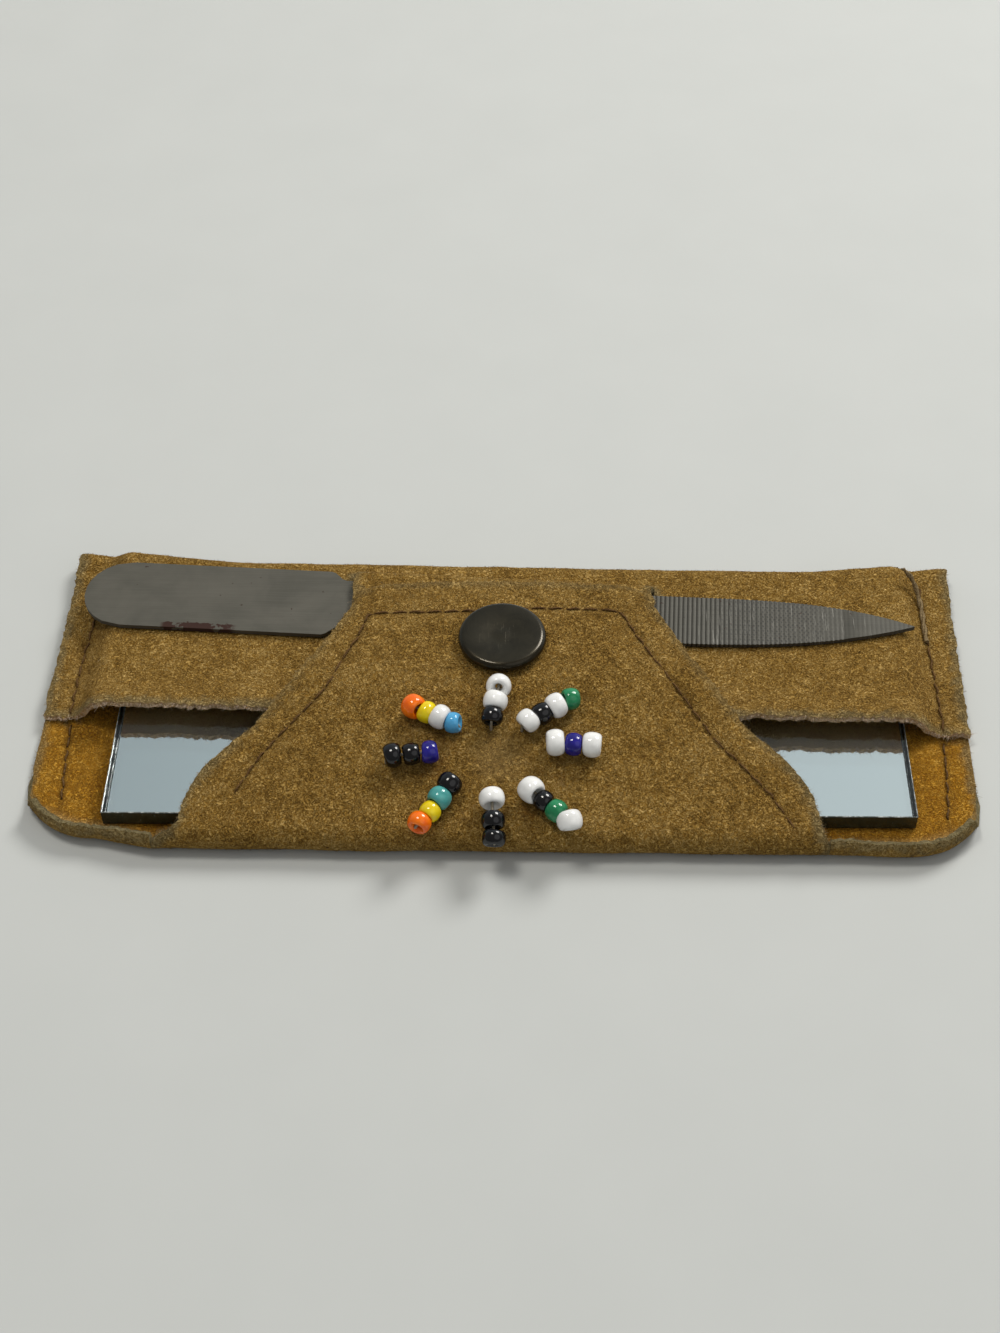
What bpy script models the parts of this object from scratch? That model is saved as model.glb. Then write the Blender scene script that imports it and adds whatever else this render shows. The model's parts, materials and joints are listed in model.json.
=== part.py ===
# Suede grooming case with a beaded flap, holding a mirror and a nail file.
#
# The case lies on its back. X runs along its length, Y from the flap's fold to
# the top fold, and Z up from the table. The origin is on the table, midway
# along the case and level with the middle of its back.
#
# One piece of suede makes the back, the pocket strip that is folded over from
# the top and sewn down at both ends, and the flap that is folded up from the
# bottom. The file is threaded through two slits in the strip: over the suede at
# both ends, under it in the middle. Lengths are in metres and angles in degrees.

import math

import bmesh
import bpy
from mathutils import Matrix, Vector

# Air left between pieces that rest on each other
CLEARANCE = 0.0003

# Mirror
MIRROR_WIDTH = 0.1282
MIRROR_HEIGHT = 0.0500
MIRROR_THICKNESS = 0.0030
MIRROR_CENTRE = (0.0009, -0.0004)
MIRROR_TURN = 1.17
MIRROR_ARRIS = 0.0004

# Suede case, cut to leave room for the mirror between its side seams
LEATHER = 0.0012
SEAM_MARGIN = 0.0050
SIDE_ROOM = 0.0069
CASE_WIDTH = MIRROR_WIDTH + 2 * (SIDE_ROOM + SEAM_MARGIN)
TOP_FOLD_Y = 0.0260
TOP_CORNER_Y = 0.0305
BACK_EDGE_Y = -0.0275
FLAP_FOLD_Y = -0.0283
FLAP_TURN = 0.95
CORNER_LIFT = 0.0010
CORNER_LIFT_REACH = 0.0090
BOTTOM_CORNER_RADIUS = 0.0117
CURL_RADIUS = 0.0019
CURL_ANGLE = 90
CURL_ANGLE_AT_SIDES = 8
STRIP_EDGE_Y = -0.0054
STRIP_EDGE_SAG = 0.0011
STRIP_LIP_LIFT = 0.0014
STRIP_LIP_LENGTH = 0.0080
STRIP_STEEPNESS_LEFT = 1.45

# Slits that hold the file
SLIT_SPACING = 0.0512
SLIT_CENTRE_X = -0.0009
SLIT_WIDTH = 0.0004
SLIT_ABOVE_FILE = 0.0020
SLIT_BELOW_FILE = 0.0034

# Nail file
FILE_THICKNESS = 0.0008
FILE_HANDLE_END_X = -0.0725
FILE_HANDLE_LENGTH = 0.0417
FILE_SHOULDER_LENGTH = 0.0028
FILE_HANDLE_WIDTH = 0.0147
FILE_BLADE_LENGTH = 0.0965
FILE_BLADE_WIDTH = 0.0107
FILE_TAPER_LENGTH = 0.0435
FILE_TAPER_POWER = 3.2
FILE_TIP_RISE = 0.0010
FILE_AXIS_Y = 0.0158
FILE_TURN = -2.3
FILE_TOOTH_PITCH = 0.00077
FILE_TOOTH_DEPTH = 0.00014
FILE_TOOTH_START = 0.0070
FILE_SMOOTH_TIP = 0.0110

# Flap
FLAP_TIP_Y = 0.0190
FLAP_TIP_WIDTH = 0.0504
FLAP_ROOT_WIDTH = 0.1000
FLAP_WAIST = 0.0016
FLAP_BELLY = 0.0023
FLAP_BELLY_START = 0.6
FLAP_SHOULDER_LENGTH = 0.0055
FLAP_CROWN = 0.0014
FLAP_CORNER = 0.0016
FLAP_CENTRE_X = -0.0005
FLAP_FLARE_LEFT = 0.0042
FLAP_FLARE_RIGHT = 0.0014
FLAP_DROOP = 0.0009
FLAP_DROOP_WIDTH = 0.0050
FLAP_BEND_RADIUS = 0.0220
CREASE_GAP = 0.0003

# Lining sewn behind the flap, which hides the bead threads and backs the snap
LINING = 0.0007
LINING_INSET = 0.0030
LINING_START = 0.0095

# Snap fastener
SNAP_X = -0.0004
SNAP_Y = 0.0043
SNAP_SEAT_RISE = 0.0010
SNAP_SEAT_RADIUS = 0.0038
SNAP_FLAT = 0.0062
CAP_DIAMETER = 0.0144
CAP_HEIGHT = 0.0020
CAP_TUBE_DIAMETER = 0.0036
CAP_TUBE_WALL = 0.0006
SOCKET_DIAMETER = 0.0122
SOCKET_HEIGHT = 0.0015
SOCKET_PLATE = 0.0004
SOCKET_GROOVE = 0.0005
SOCKET_WALL = 0.0006
STUD_FLANGE_DIAMETER = 0.0070
STUD_FLANGE = 0.0003
STUD_HEAD_DIAMETER = 0.0048
STUD_NECK_DIAMETER = 0.0039
STUD_HEIGHT = 0.00135
POST_FLANGE_DIAMETER = 0.0060
POST_FLANGE = 0.0003
POST_DIAMETER = 0.0024
POST_WALL = 0.0004

# Bead star
BEAD_DIAMETER = 0.0039
BEAD_HOLE = 0.0012
THREAD_DIAMETER = 0.0005
THREAD_RUN_OUT = 0.0009
NEEDLE_HOLE = 0.0011
STAR_DROP = 0.0219

# Each ray of the star: the first bead's place from the star's centre, the
# direction the ray runs in, the length of its beads, and their colours from
# the inner bead outwards
RAYS = (
    ((-0.0011, 0.0066), 80, 0.0024, ("black", "white", "white")),
    ((0.0048, 0.0058), 31, 0.0023, ("white", "black", "white", "green")),
    ((0.0092, 0.0016), -3, 0.0026, ("white", "navy", "white")),
    ((0.0055, -0.0067), -41, 0.0023, ("white", "black", "green", "white")),
    ((-0.0007, -0.0078), -88, 0.0024, ("white", "black", "black")),
    ((-0.0070, -0.0056), 239, 0.0023, ("black", "turquoise", "yellow", "orange")),
    ((-0.0107, 0.0006), 187, 0.0026, ("navy", "black", "black")),
    ((-0.0073, 0.0053), 157, 0.0020, ("sky_blue", "white", "yellow", "orange")),
)

# Heights above the table, one layer resting on the next
HALF_LEATHER = LEATHER / 2
MIRROR_BOTTOM = LEATHER + CLEARANCE
MIRROR_TOP = MIRROR_BOTTOM + MIRROR_THICKNESS
STRIP_ON_BACK = LEATHER + CLEARANCE
STRIP_ON_MIRROR = MIRROR_TOP + CLEARANCE
FILE_BOTTOM = STRIP_ON_MIRROR + LEATHER + CLEARANCE
FILE_TOP = FILE_BOTTOM + FILE_THICKNESS
STRIP_OVER_FILE = FILE_TOP + CLEARANCE
SNAP_SEAT = STRIP_ON_MIRROR + SNAP_SEAT_RISE
STUD_BOTTOM = SNAP_SEAT + LEATHER + CLEARANCE
SOCKET_BOTTOM = STUD_BOTTOM + STUD_FLANGE + CLEARANCE
SOCKET_TOP = SOCKET_BOTTOM + SOCKET_HEIGHT
LINING_AT_SNAP = SOCKET_TOP + CLEARANCE
FLAP_AT_SNAP = LINING_AT_SNAP + LINING + CLEARANCE
CAP_BOTTOM = FLAP_AT_SNAP + LEATHER + CLEARANCE
FLAP_AT_TIP = STRIP_OVER_FILE + LEATHER + CLEARANCE + LINING + CLEARANCE

# Fold between the back and the flap, as a half round of the suede's mid layer
FOLD_RADIUS = (MIRROR_TOP + CLEARANCE) / 2
FOLD_CENTRE = Vector((FLAP_FOLD_Y, HALF_LEATHER + FOLD_RADIUS))
CREASE_HALF_GAP = math.degrees(CREASE_GAP / 2 / FOLD_RADIUS)

SEAM_X = CASE_WIDTH / 2 - SEAM_MARGIN
SLIT_LEFT = SLIT_CENTRE_X - SLIT_SPACING / 2
SLIT_RIGHT = SLIT_CENTRE_X + SLIT_SPACING / 2
BEAD_SEAT = HALF_LEATHER + CLEARANCE + BEAD_DIAMETER / 2

COLOURS = {
    "suede": ((0.235, 0.135, 0.042), 0.95, 0.0),
    "lining": ((0.255, 0.150, 0.052), 0.95, 0.0),
    "mirror": ((0.62, 0.68, 0.70), 0.05, 1.0),
    "steel": ((0.16, 0.155, 0.14), 0.42, 1.0),
    "gunmetal": ((0.055, 0.048, 0.036), 0.25, 1.0),
    "brass": ((0.42, 0.31, 0.13), 0.35, 1.0),
    "thread": ((0.30, 0.30, 0.27), 0.60, 0.0),
    "white": ((0.80, 0.80, 0.76), 0.12, 0.0),
    "black": ((0.012, 0.012, 0.014), 0.10, 0.0),
    "orange": ((0.82, 0.15, 0.015), 0.12, 0.0),
    "yellow": ((0.85, 0.62, 0.02), 0.12, 0.0),
    "green": ((0.02, 0.16, 0.075), 0.12, 0.0),
    "turquoise": ((0.16, 0.36, 0.34), 0.12, 0.0),
    "sky_blue": ((0.09, 0.36, 0.62), 0.12, 0.0),
    "navy": ((0.015, 0.012, 0.15), 0.12, 0.0),
}


def clear_scene():
    for old in list(bpy.data.objects):
        bpy.data.objects.remove(old, do_unlink=True)


def ease(value):
    value = min(max(value, 0.0), 1.0)
    return value * value * (3 - 2 * value)


def mix(low, high, share):
    return low + (high - low) * share


def material(name):
    found = bpy.data.materials.get(name)
    if found:
        return found
    colour, roughness, metallic = COLOURS[name]
    made = bpy.data.materials.new(name)
    made.use_nodes = True
    shader = made.node_tree.nodes["Principled BSDF"]
    shader.inputs["Base Color"].default_value = (*colour, 1)
    shader.inputs["Roughness"].default_value = roughness
    shader.inputs["Metallic"].default_value = metallic
    made.diffuse_color = (*colour, 1)
    return made


def new_object(name, mesh, finish):
    made = bpy.data.objects.new(name, mesh)
    bpy.context.scene.collection.objects.link(made)
    if finish:
        mesh.materials.append(material(finish))
    return made


def mesh_from(bm, name):
    mesh = bpy.data.meshes.new(name)
    bm.to_mesh(mesh)
    bm.free()
    return mesh


def cut_with(target, cutter):
    cutter.hide_render = True
    cutter.display_type = "WIRE"
    cut = target.modifiers.new("Cut", "BOOLEAN")
    cut.operation = "DIFFERENCE"
    cut.object = cutter


def sheet(name, rows, finish, thickness, open_face=None):
    """Suede of one thickness about a grid of mid-layer points.

    open_face(row, column) leaves a face out, as a slit does.
    """
    bm = bmesh.new()
    grid = [[bm.verts.new(point) for point in row] for row in rows]
    for r in range(len(rows) - 1):
        for c in range(len(rows[0]) - 1):
            if open_face and open_face(r, c):
                continue
            bm.faces.new((grid[r][c], grid[r][c + 1], grid[r + 1][c + 1], grid[r + 1][c]))
    made = new_object(name, mesh_from(bm, name), finish)
    made.data.shade_smooth()
    wall = made.modifiers.new("Thickness", "SOLIDIFY")
    wall.thickness = thickness
    wall.offset = 0
    wall.use_even_offset = True
    return made


def turned(name, profile, segments, finish):
    """A round piece about the Z axis from a closed outline of (radius, height)."""
    bm = bmesh.new()
    ring = [bm.verts.new((radius, 0, height)) for radius, height in profile]
    for a, b in zip(ring, ring[1:] + ring[:1]):
        bm.edges.new((a, b))
    bmesh.ops.spin(bm, geom=bm.verts[:] + bm.edges[:], cent=(0, 0, 0), axis=(0, 0, 1),
                   angle=math.tau, steps=segments, use_merge=True)
    bmesh.ops.remove_doubles(bm, verts=bm.verts, dist=1e-6)
    loose = [edge for edge in bm.edges if not edge.link_faces]
    bmesh.ops.delete(bm, geom=loose, context="EDGES")
    bmesh.ops.recalc_face_normals(bm, faces=bm.faces)
    made = new_object(name, mesh_from(bm, name), finish)
    made.data.shade_smooth()
    made.data.set_sharp_from_angle(angle=math.radians(35))
    return made


def file_axis(x):
    """Y of the file's centre line."""
    return FILE_AXIS_Y + math.tan(math.radians(FILE_TURN)) * x


def over_mirror(x, steepness_left=STRIP_STEEPNESS_LEFT):
    """1 where the strip lies on the mirror, 0 at the seams that sew it down."""
    half = MIRROR_WIDTH / 2 + 2 * CLEARANCE
    left = (x + SEAM_X) / (MIRROR_CENTRE[0] - half + SEAM_X)
    right = (SEAM_X - x) / (SEAM_X - MIRROR_CENTRE[0] - half)
    return ease(min(steepness_left * left, right))


def slit_ends(slit_x):
    half = FILE_BLADE_WIDTH / 2
    centre = file_axis(slit_x)
    return centre - half - SLIT_BELOW_FILE, centre + half + SLIT_ABOVE_FILE


def slit_side(x, y, slit_x):
    """-1 left of a slit and +1 right of it, closing up past the slit's ends.

    This is the rise that pulling apart the two lips of a slit gives a sheet.
    """
    low, high = slit_ends(slit_x)
    across = x - slit_x
    above = math.hypot(across, y - high) - (y - high)
    below = math.hypot(across, y - low) + (y - low)
    opened = math.sqrt(max(above, 0) * max(below, 0)) / 2
    full = math.sqrt(SLIT_ABOVE_FILE * (high - low)) * 0.85
    return math.copysign(min(opened / full, 1.0), across)


def over_file(x, y):
    """1 where the strip passes over the file, 0 where it passes under it."""
    left = 0.5 + 0.5 * slit_side(x, y, SLIT_LEFT)
    right = 0.5 - 0.5 * slit_side(x, y, SLIT_RIGHT)
    from_axis = y - file_axis(x)
    reach = FILE_BLADE_WIDTH / 2 + CLEARANCE
    fall = SLIT_ABOVE_FILE + LEATHER if from_axis > 0 else SLIT_BELOW_FILE - CLEARANCE
    return left * right * (1 - ease((abs(from_axis) - reach) / fall))


def snap_seat(x, y):
    """1 on the flat seat of the snap's stud, 0 well away from it."""
    away = math.hypot(x - SNAP_X, y - SNAP_Y)
    return 1 - ease((away - SNAP_SEAT_RADIUS) / SNAP_SEAT_RADIUS)


def strip_edge(x):
    """Y of the strip's lower edge, which sags between the seams."""
    return STRIP_EDGE_Y - STRIP_EDGE_SAG * over_mirror(x) * (1 - (x / CASE_WIDTH) ** 2)


def corner_lift(x, y):
    outward = ease((abs(x) - CASE_WIDTH / 2 + CORNER_LIFT_REACH) / CORNER_LIFT_REACH)
    upward = ease((y - TOP_CORNER_Y + CORNER_LIFT_REACH) / CORNER_LIFT_REACH)
    return CORNER_LIFT * outward * upward


def strip_height(x, y):
    """Height of the strip's mid layer."""
    held = over_mirror(x)
    low = mix(STRIP_ON_BACK, STRIP_ON_MIRROR, held)
    edge = strip_edge(x)
    lip = 1 - ease((y - edge) / STRIP_LIP_LENGTH)
    base = low + STRIP_LIP_LIFT * held * lip
    base += (STRIP_OVER_FILE - STRIP_ON_MIRROR) * over_file(x, y)
    base = mix(base, SNAP_SEAT, snap_seat(x, y) * (1 - over_file(x, y)))
    return base + HALF_LEATHER + corner_lift(x, y)


def round_corner(x):
    """0 along the bottom, rising to 1 at the side edges, over the rounded corners."""
    start = CASE_WIDTH / 2 - BOTTOM_CORNER_RADIUS
    return min(max(abs(x) - start, 0) / BOTTOM_CORNER_RADIUS, 1)


def back_edge(x):
    """Y at which the back's lower edge starts to curl up, round the bottom corners."""
    beyond = round_corner(x)
    return BACK_EDGE_Y + BOTTOM_CORNER_RADIUS * (1 - math.sqrt(1 - beyond * beyond))


def fold_y(x):
    """Y of the middle of the flap's fold, which runs a little askew."""
    return FLAP_FOLD_Y + math.tan(math.radians(FLAP_TURN)) * (x - SNAP_X)


def flap_root(side):
    """X where the flap leaves the back, on the left (-1) or the right (1)."""
    flare = FLAP_FLARE_LEFT if side < 0 else FLAP_FLARE_RIGHT
    return FLAP_CENTRE_X + side * (FLAP_ROOT_WIDTH / 2 + flare)


def body_columns():
    """X places of the case's grid, closer where the suede bends."""
    mirror_left = MIRROR_CENTRE[0] - MIRROR_WIDTH / 2
    mirror_right = MIRROR_CENTRE[0] + MIRROR_WIDTH / 2
    stations = [-CASE_WIDTH / 2, -SEAM_X, mirror_left, flap_root(-1), SLIT_LEFT - SLIT_WIDTH / 2]
    counts = [4, 3, 1, 6, 1]
    stations += [SLIT_LEFT + SLIT_WIDTH / 2, SNAP_X, SLIT_RIGHT - SLIT_WIDTH / 2]
    counts += [7, 7, 1]
    stations += [SLIT_RIGHT + SLIT_WIDTH / 2, flap_root(1), mirror_right, SEAM_X, CASE_WIDTH / 2]
    counts += [6, 2, 3, 4]
    columns = []
    for start, end, count in zip(stations, stations[1:], counts):
        columns += [mix(start, end, i / count) for i in range(count)]
    return columns + [CASE_WIDTH / 2]


def body_section(x):
    """Mid-layer points (y, z) from the flap's crease, round the back, to the strip's edge."""
    points = []
    root = flap_root(-1) <= x <= flap_root(1)
    curl = mix(CURL_ANGLE, CURL_ANGLE_AT_SIDES, ease(5 * round_corner(x) - 4))
    radius = FOLD_RADIUS if root else CURL_RADIUS * CURL_ANGLE / curl
    sweep = 90 - CREASE_HALF_GAP if root else curl
    low = fold_y(x) if root else back_edge(x)
    for share in (1, 0.93, 0.62, 0.3, 0):
        turn = math.radians(sweep * share)
        points.append((low - radius * math.sin(turn), HALF_LEATHER + radius * (1 - math.cos(turn))))
    top = mix(TOP_CORNER_Y, TOP_FOLD_Y, over_mirror(x, 1))
    for share in (0.3, 0.55, 0.8, 1.0):
        y = mix(low, top, share)
        points.append((y, HALF_LEATHER + corner_lift(x, y)))
    back = HALF_LEATHER + corner_lift(x, top)
    front = strip_height(x, top)
    radius = (front - back) / 2
    for i in range(1, 7):
        turn = math.pi * i / 6
        points.append((top + radius * math.sin(turn), back + radius * (1 - math.cos(turn))))
    slit_low, slit_high = slit_ends(min(max(x, SLIT_LEFT), SLIT_RIGHT))
    stops = [mix(top, slit_high, 0.5), slit_high]
    stops += [mix(slit_high, slit_low, share) for share in (0.10, 0.20, 0.45, 0.68, 0.80, 0.90, 1.0)]
    stops += [mix(slit_low, strip_edge(x), share) for share in (0.2, 0.42, 0.66, 0.84, 1.0)]
    points += [(y, strip_height(x, y)) for y in stops]
    return points


SLIT_FIRST_ROW = 16
SLIT_LAST_ROW = 23


def make_pouch_body():
    columns = body_columns()
    sections = [body_section(x) for x in columns]
    rows = [[(x, *section[r]) for x, section in zip(columns, sections)] for r in range(len(sections[0]))]
    slits = [columns.index(SLIT_LEFT - SLIT_WIDTH / 2), columns.index(SLIT_RIGHT - SLIT_WIDTH / 2)]

    def open_face(r, c):
        return c in slits and SLIT_FIRST_ROW <= r < SLIT_LAST_ROW

    body = sheet("pouch_body", rows, "suede", LEATHER, open_face)
    hole = drill("strip_hole", POST_DIAMETER / 2 + CLEARANCE)
    hole.location = (SNAP_X, SNAP_Y, SNAP_SEAT + HALF_LEATHER)
    cut_with(body, hole)
    return body


def drill(name, radius):
    bm = bmesh.new()
    bmesh.ops.create_cone(bm, cap_ends=True, segments=16, radius1=radius, radius2=radius,
                          depth=LEATHER * 2.4)
    return new_object(name, mesh_from(bm, name), None)


def flap_profile():
    """Mid-layer line (y, z) of the flap, from its crease over the snap to its tip."""
    seat = FLAP_AT_SNAP + HALF_LEATHER
    rise = Vector((SNAP_Y - SNAP_FLAT, seat))
    away = rise - FOLD_CENTRE
    slope = math.atan2(away.y, away.x) - math.asin(FOLD_RADIUS / away.length)
    start = math.radians(90 + CREASE_HALF_GAP)
    end = math.pi - slope
    points = []
    for i in range(11):
        turn = mix(start, end, (i / 10) ** 1.4)
        points.append(FOLD_CENTRE + FOLD_RADIUS * Vector((-math.sin(turn), -math.cos(turn))))
    corners = [points[-1], rise, Vector((SNAP_Y + SNAP_FLAT, seat)),
               Vector((FLAP_TIP_Y, FLAP_AT_TIP + HALF_LEATHER))]
    for before, corner, after in zip(corners, corners[1:], corners[2:]):
        points += fillet(before, corner, after, FLAP_BEND_RADIUS)
    return points + [corners[-1]]


def fillet(before, corner, after, radius):
    """Round a corner of a line with an arc."""
    arrive = (corner - before).normalized()
    leave = (after - corner).normalized()
    turn = arrive.angle_signed(leave)
    length = radius * math.tan(abs(turn) / 2)
    centre_side = Vector((arrive.y, -arrive.x)) * math.copysign(1, turn)
    start = corner - arrive * length
    centre = start + centre_side * radius
    spoke = start - centre
    return [centre + Matrix.Rotation(-turn * i / 4, 2) @ spoke for i in range(5)]


class Line:
    """A line of points that can be asked for its place at a distance along it."""

    def __init__(self, points):
        self.points = points
        self.distances = [0.0]
        for a, b in zip(points, points[1:]):
            self.distances.append(self.distances[-1] + (b - a).length)
        self.length = self.distances[-1]

    def at(self, distance):
        """Place and direction at a distance, straight on past the ends."""
        last = len(self.points) - 2
        i = 0
        while i < last and self.distances[i + 1] < distance:
            i += 1
        a, b = self.points[i], self.points[i + 1]
        direction = (b - a).normalized()
        return a + direction * (distance - self.distances[i]), direction

    def distance_at(self, first_value):
        """Distance along the line at which its first coordinate has a value."""
        for i, (a, b) in enumerate(zip(self.points, self.points[1:])):
            if a[0] <= first_value <= b[0]:
                share = (first_value - a[0]) / (b[0] - a[0])
                return mix(self.distances[i], self.distances[i + 1], share)
        return self.length


FLAP_LINE = Line(flap_profile())
FLAP_TOP_OF_FOLD = FLAP_LINE.distance_at(FLAP_FOLD_Y)
SNAP_DISTANCE = FLAP_LINE.distance_at(SNAP_Y)


def flap_point(x, distance, height):
    """A place over the flap's mid layer: x along the case, distance up from the crease."""
    place, along = FLAP_LINE.at(distance)
    normal = Vector((-along.y, along.x))
    raised = place + normal * height
    return Vector((x, raised.x, raised.y))


def flap_half_width(distance, side):
    """Half the flap's width at a distance up from the crease, on one side."""
    body_length = FLAP_LINE.length - FLAP_SHOULDER_LENGTH - FLAP_TOP_OF_FOLD
    share = (FLAP_LINE.length - FLAP_SHOULDER_LENGTH - distance) / body_length
    share = min(max(share, 0), 1)
    half = mix(FLAP_TIP_WIDTH, FLAP_ROOT_WIDTH, share) / 2
    half -= FLAP_WAIST * math.sin(math.pi * share) * (1 - share)
    belly = max(share - FLAP_BELLY_START, 0) / (1 - FLAP_BELLY_START)
    half += FLAP_BELLY * math.sin(math.pi * belly)
    flare = FLAP_FLARE_LEFT if side < 0 else FLAP_FLARE_RIGHT
    half += flare * (1 - ease(distance / FLAP_TOP_OF_FOLD))
    return half


def flap_rows(distances, columns, inset, height, drooping):
    """Grid of points on the flap or on a ply behind it."""
    rows = []
    crown_start = FLAP_LINE.length / 2
    for distance in distances:
        row = []
        crown = FLAP_CROWN * ease((distance - crown_start) / crown_start)
        for u in columns:
            side = -1 if u < 0 else 1
            half = flap_half_width(distance, side) - inset
            up = distance + crown * (1 - u * u)
            point = flap_point(FLAP_CENTRE_X + u * half, up, height)
            if drooping:
                from_edge = (1 - abs(u)) * half / FLAP_DROOP_WIDTH
                grown = ease((distance - FLAP_TOP_OF_FOLD) / crown_start)
                point.z -= FLAP_DROOP * (1 - ease(from_edge)) * grown
            row.append(point)
        rows.append(row)
    return rows


def round_tip(rows, corner):
    """Draw in the ends of the last row, which rounds the flap's two free corners."""
    for point, toward in ((rows[-1][0], 1), (rows[-1][-1], -1)):
        point.x += corner * toward
    return rows


class Ray:
    """One ray of the star: where its beads sit and where its thread goes down."""

    STEPS = 60

    def __init__(self, start, heading, bead_length, colours):
        self.colours = colours
        self.bead_length = bead_length
        self.pitch = bead_length + CLEARANCE
        self.begin = Vector((SNAP_X, SNAP_DISTANCE - STAR_DROP)) + Vector(start)
        self.direction = Vector((math.cos(math.radians(heading)), math.sin(math.radians(heading))))
        reach = self.pitch * (len(colours) + 1)
        self.steps = [reach * i / self.STEPS for i in range(self.STEPS + 1)]
        self.line = Line([self.over(step, BEAD_SEAT) for step in self.steps])
        distances = [0.0]
        while len(distances) < len(colours):
            distances.append(distances[-1] + self.pitch_after(distances[-1]))
        self.beads = [self.line.at(distance) for distance in distances]
        self.start = -bead_length / 2 - THREAD_RUN_OUT
        self.end = self.step_at(distances[-1] + self.run_out(distances[-1]))

    def over(self, step, height):
        """A place on the ray's line over the flap, a step along it."""
        spot = self.begin + self.direction * step
        return flap_point(spot.x, spot.y, height)

    def pitch_after(self, distance):
        """Room to the next bead, more where the ray bends over the fold."""
        pitch = self.pitch
        for _ in range(4):
            pitch = self.pitch + (BEAD_DIAMETER + BEAD_HOLE) / 4 * self.bend(distance, pitch)
        return pitch

    def run_out(self, distance):
        """Reach from the last bead to its needle hole, more where the ray bends down."""
        reach = self.bead_length / 2 + THREAD_RUN_OUT
        return reach + BEAD_DIAMETER / 2 * self.bend(distance, reach)

    def bend(self, distance, reach):
        """Angle the ray turns through over a reach."""
        return self.line.at(distance)[1].angle(self.line.at(distance + reach)[1])

    def step_at(self, distance):
        for step, passed in zip(self.steps, self.line.distances):
            if passed >= distance:
                return step
        return self.steps[-1]


STAR = [Ray(*entry) for entry in RAYS]


def make_beads():
    number = 0
    for ray in STAR:
        for (place, direction), colour in zip(ray.beads, ray.colours):
            number += 1
            bead = make_bead(f"bead_{number:02d}_{colour}", ray.bead_length, colour)
            bead.location = place
            bead.rotation_mode = "QUATERNION"
            bead.rotation_quaternion = direction.to_track_quat("Z", "Y")


def make_bead(name, length, colour):
    outer = BEAD_DIAMETER / 2
    hole = BEAD_HOLE / 2
    middle = (outer + hole) / 2
    profile = []
    for i in range(6):
        turn = math.tau * (i + 0.5) / 6
        profile.append((middle + (outer - middle) * math.cos(turn) / math.cos(math.pi / 6),
                        length / 2 * math.sin(turn)))
    return turned(name, profile, 10, colour)


def make_threads():
    for number, ray in enumerate(STAR, 1):
        half = ray.bead_length / 2
        first, first_along = ray.beads[0]
        last, last_along = ray.beads[-1]
        route = [ray.over(ray.start, -HALF_LEATHER), ray.over(ray.start, HALF_LEATHER + CLEARANCE),
                 ray.over(ray.start * 0.93, BEAD_SEAT * 0.72), first - first_along * half]
        route += [place for place, _ in ray.beads]
        route += [last + last_along * half, ray.over(ray.end * 0.985, BEAD_SEAT * 0.72),
                  ray.over(ray.end, HALF_LEATHER + CLEARANCE), ray.over(ray.end, -HALF_LEATHER)]
        make_thread(f"bead_thread_{number}", route)


def make_thread(name, route):
    curve = bpy.data.curves.new(name, "CURVE")
    curve.dimensions = "3D"
    curve.bevel_depth = THREAD_DIAMETER / 2
    curve.bevel_resolution = 1
    curve.use_fill_caps = True
    spline = curve.splines.new("POLY")
    spline.points.add(len(route) - 1)
    for point, place in zip(spline.points, route):
        point.co = (*place, 1)
    made = bpy.data.objects.new(name, curve)
    bpy.context.scene.collection.objects.link(made)
    curve.materials.append(material("thread"))
    return made


def needle_cutter():
    """All the needle holes of the star, as one set of pins."""
    bm = bmesh.new()
    for ray in STAR:
        for step in (ray.start, ray.end):
            low, high = ray.over(step, -LEATHER), ray.over(step, LEATHER)
            turn = (high - low).to_track_quat("Z", "Y").to_matrix().to_4x4()
            bmesh.ops.create_cone(bm, cap_ends=True, segments=8, radius1=NEEDLE_HOLE / 2,
                                  radius2=NEEDLE_HOLE / 2, depth=LEATHER * 2,
                                  matrix=Matrix.Translation((low + high) / 2) @ turn)
    return new_object("needle_holes", mesh_from(bm, "needle_holes"), None)


def make_flap():
    length = FLAP_LINE.length - FLAP_CROWN
    fold = FLAP_TOP_OF_FOLD
    stops = [fold * share for share in (0, 0.07, 0.37, 0.7, 1.0, 1.5)]
    stops += [mix(fold * 1.5, length, share) for share in (0.12, 0.25, 0.38, 0.5, 0.62, 0.74, 0.86, 0.95, 1)]
    columns = (-1, -0.93, -0.85, -0.72, -0.5, -0.25, 0, 0.25, 0.5, 0.72, 0.85, 0.93, 1)
    rows = round_tip(flap_rows(stops, columns, 0, 0, True), FLAP_CORNER)
    flap = sheet("flap", rows, "suede", LEATHER)
    cut_with(flap, needle_cutter())
    hole = drill("flap_hole", CAP_TUBE_DIAMETER / 2 + CLEARANCE)
    hole.location = (SNAP_X, SNAP_Y, FLAP_AT_SNAP + HALF_LEATHER)
    cut_with(flap, hole)
    return flap


def make_lining():
    depth = -(HALF_LEATHER + CLEARANCE + LINING / 2)
    top = FLAP_LINE.length - FLAP_CROWN - LINING_INSET
    bottom = FLAP_TOP_OF_FOLD + LINING_START
    stops = [mix(bottom, top, i / 8) for i in range(9)]
    columns = (-1, -0.75, -0.5, -0.25, 0, 0.25, 0.5, 0.75, 1)
    rows = flap_rows(stops, columns, LINING_INSET + FLAP_DROOP_WIDTH / 2, depth, False)
    lining = sheet("flap_lining", rows, "lining", LINING)
    hole = drill("lining_hole", CAP_TUBE_DIAMETER / 2 + CLEARANCE)
    hole.location = (SNAP_X, SNAP_Y, LINING_AT_SNAP + LINING / 2)
    cut_with(lining, hole)
    return lining


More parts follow.
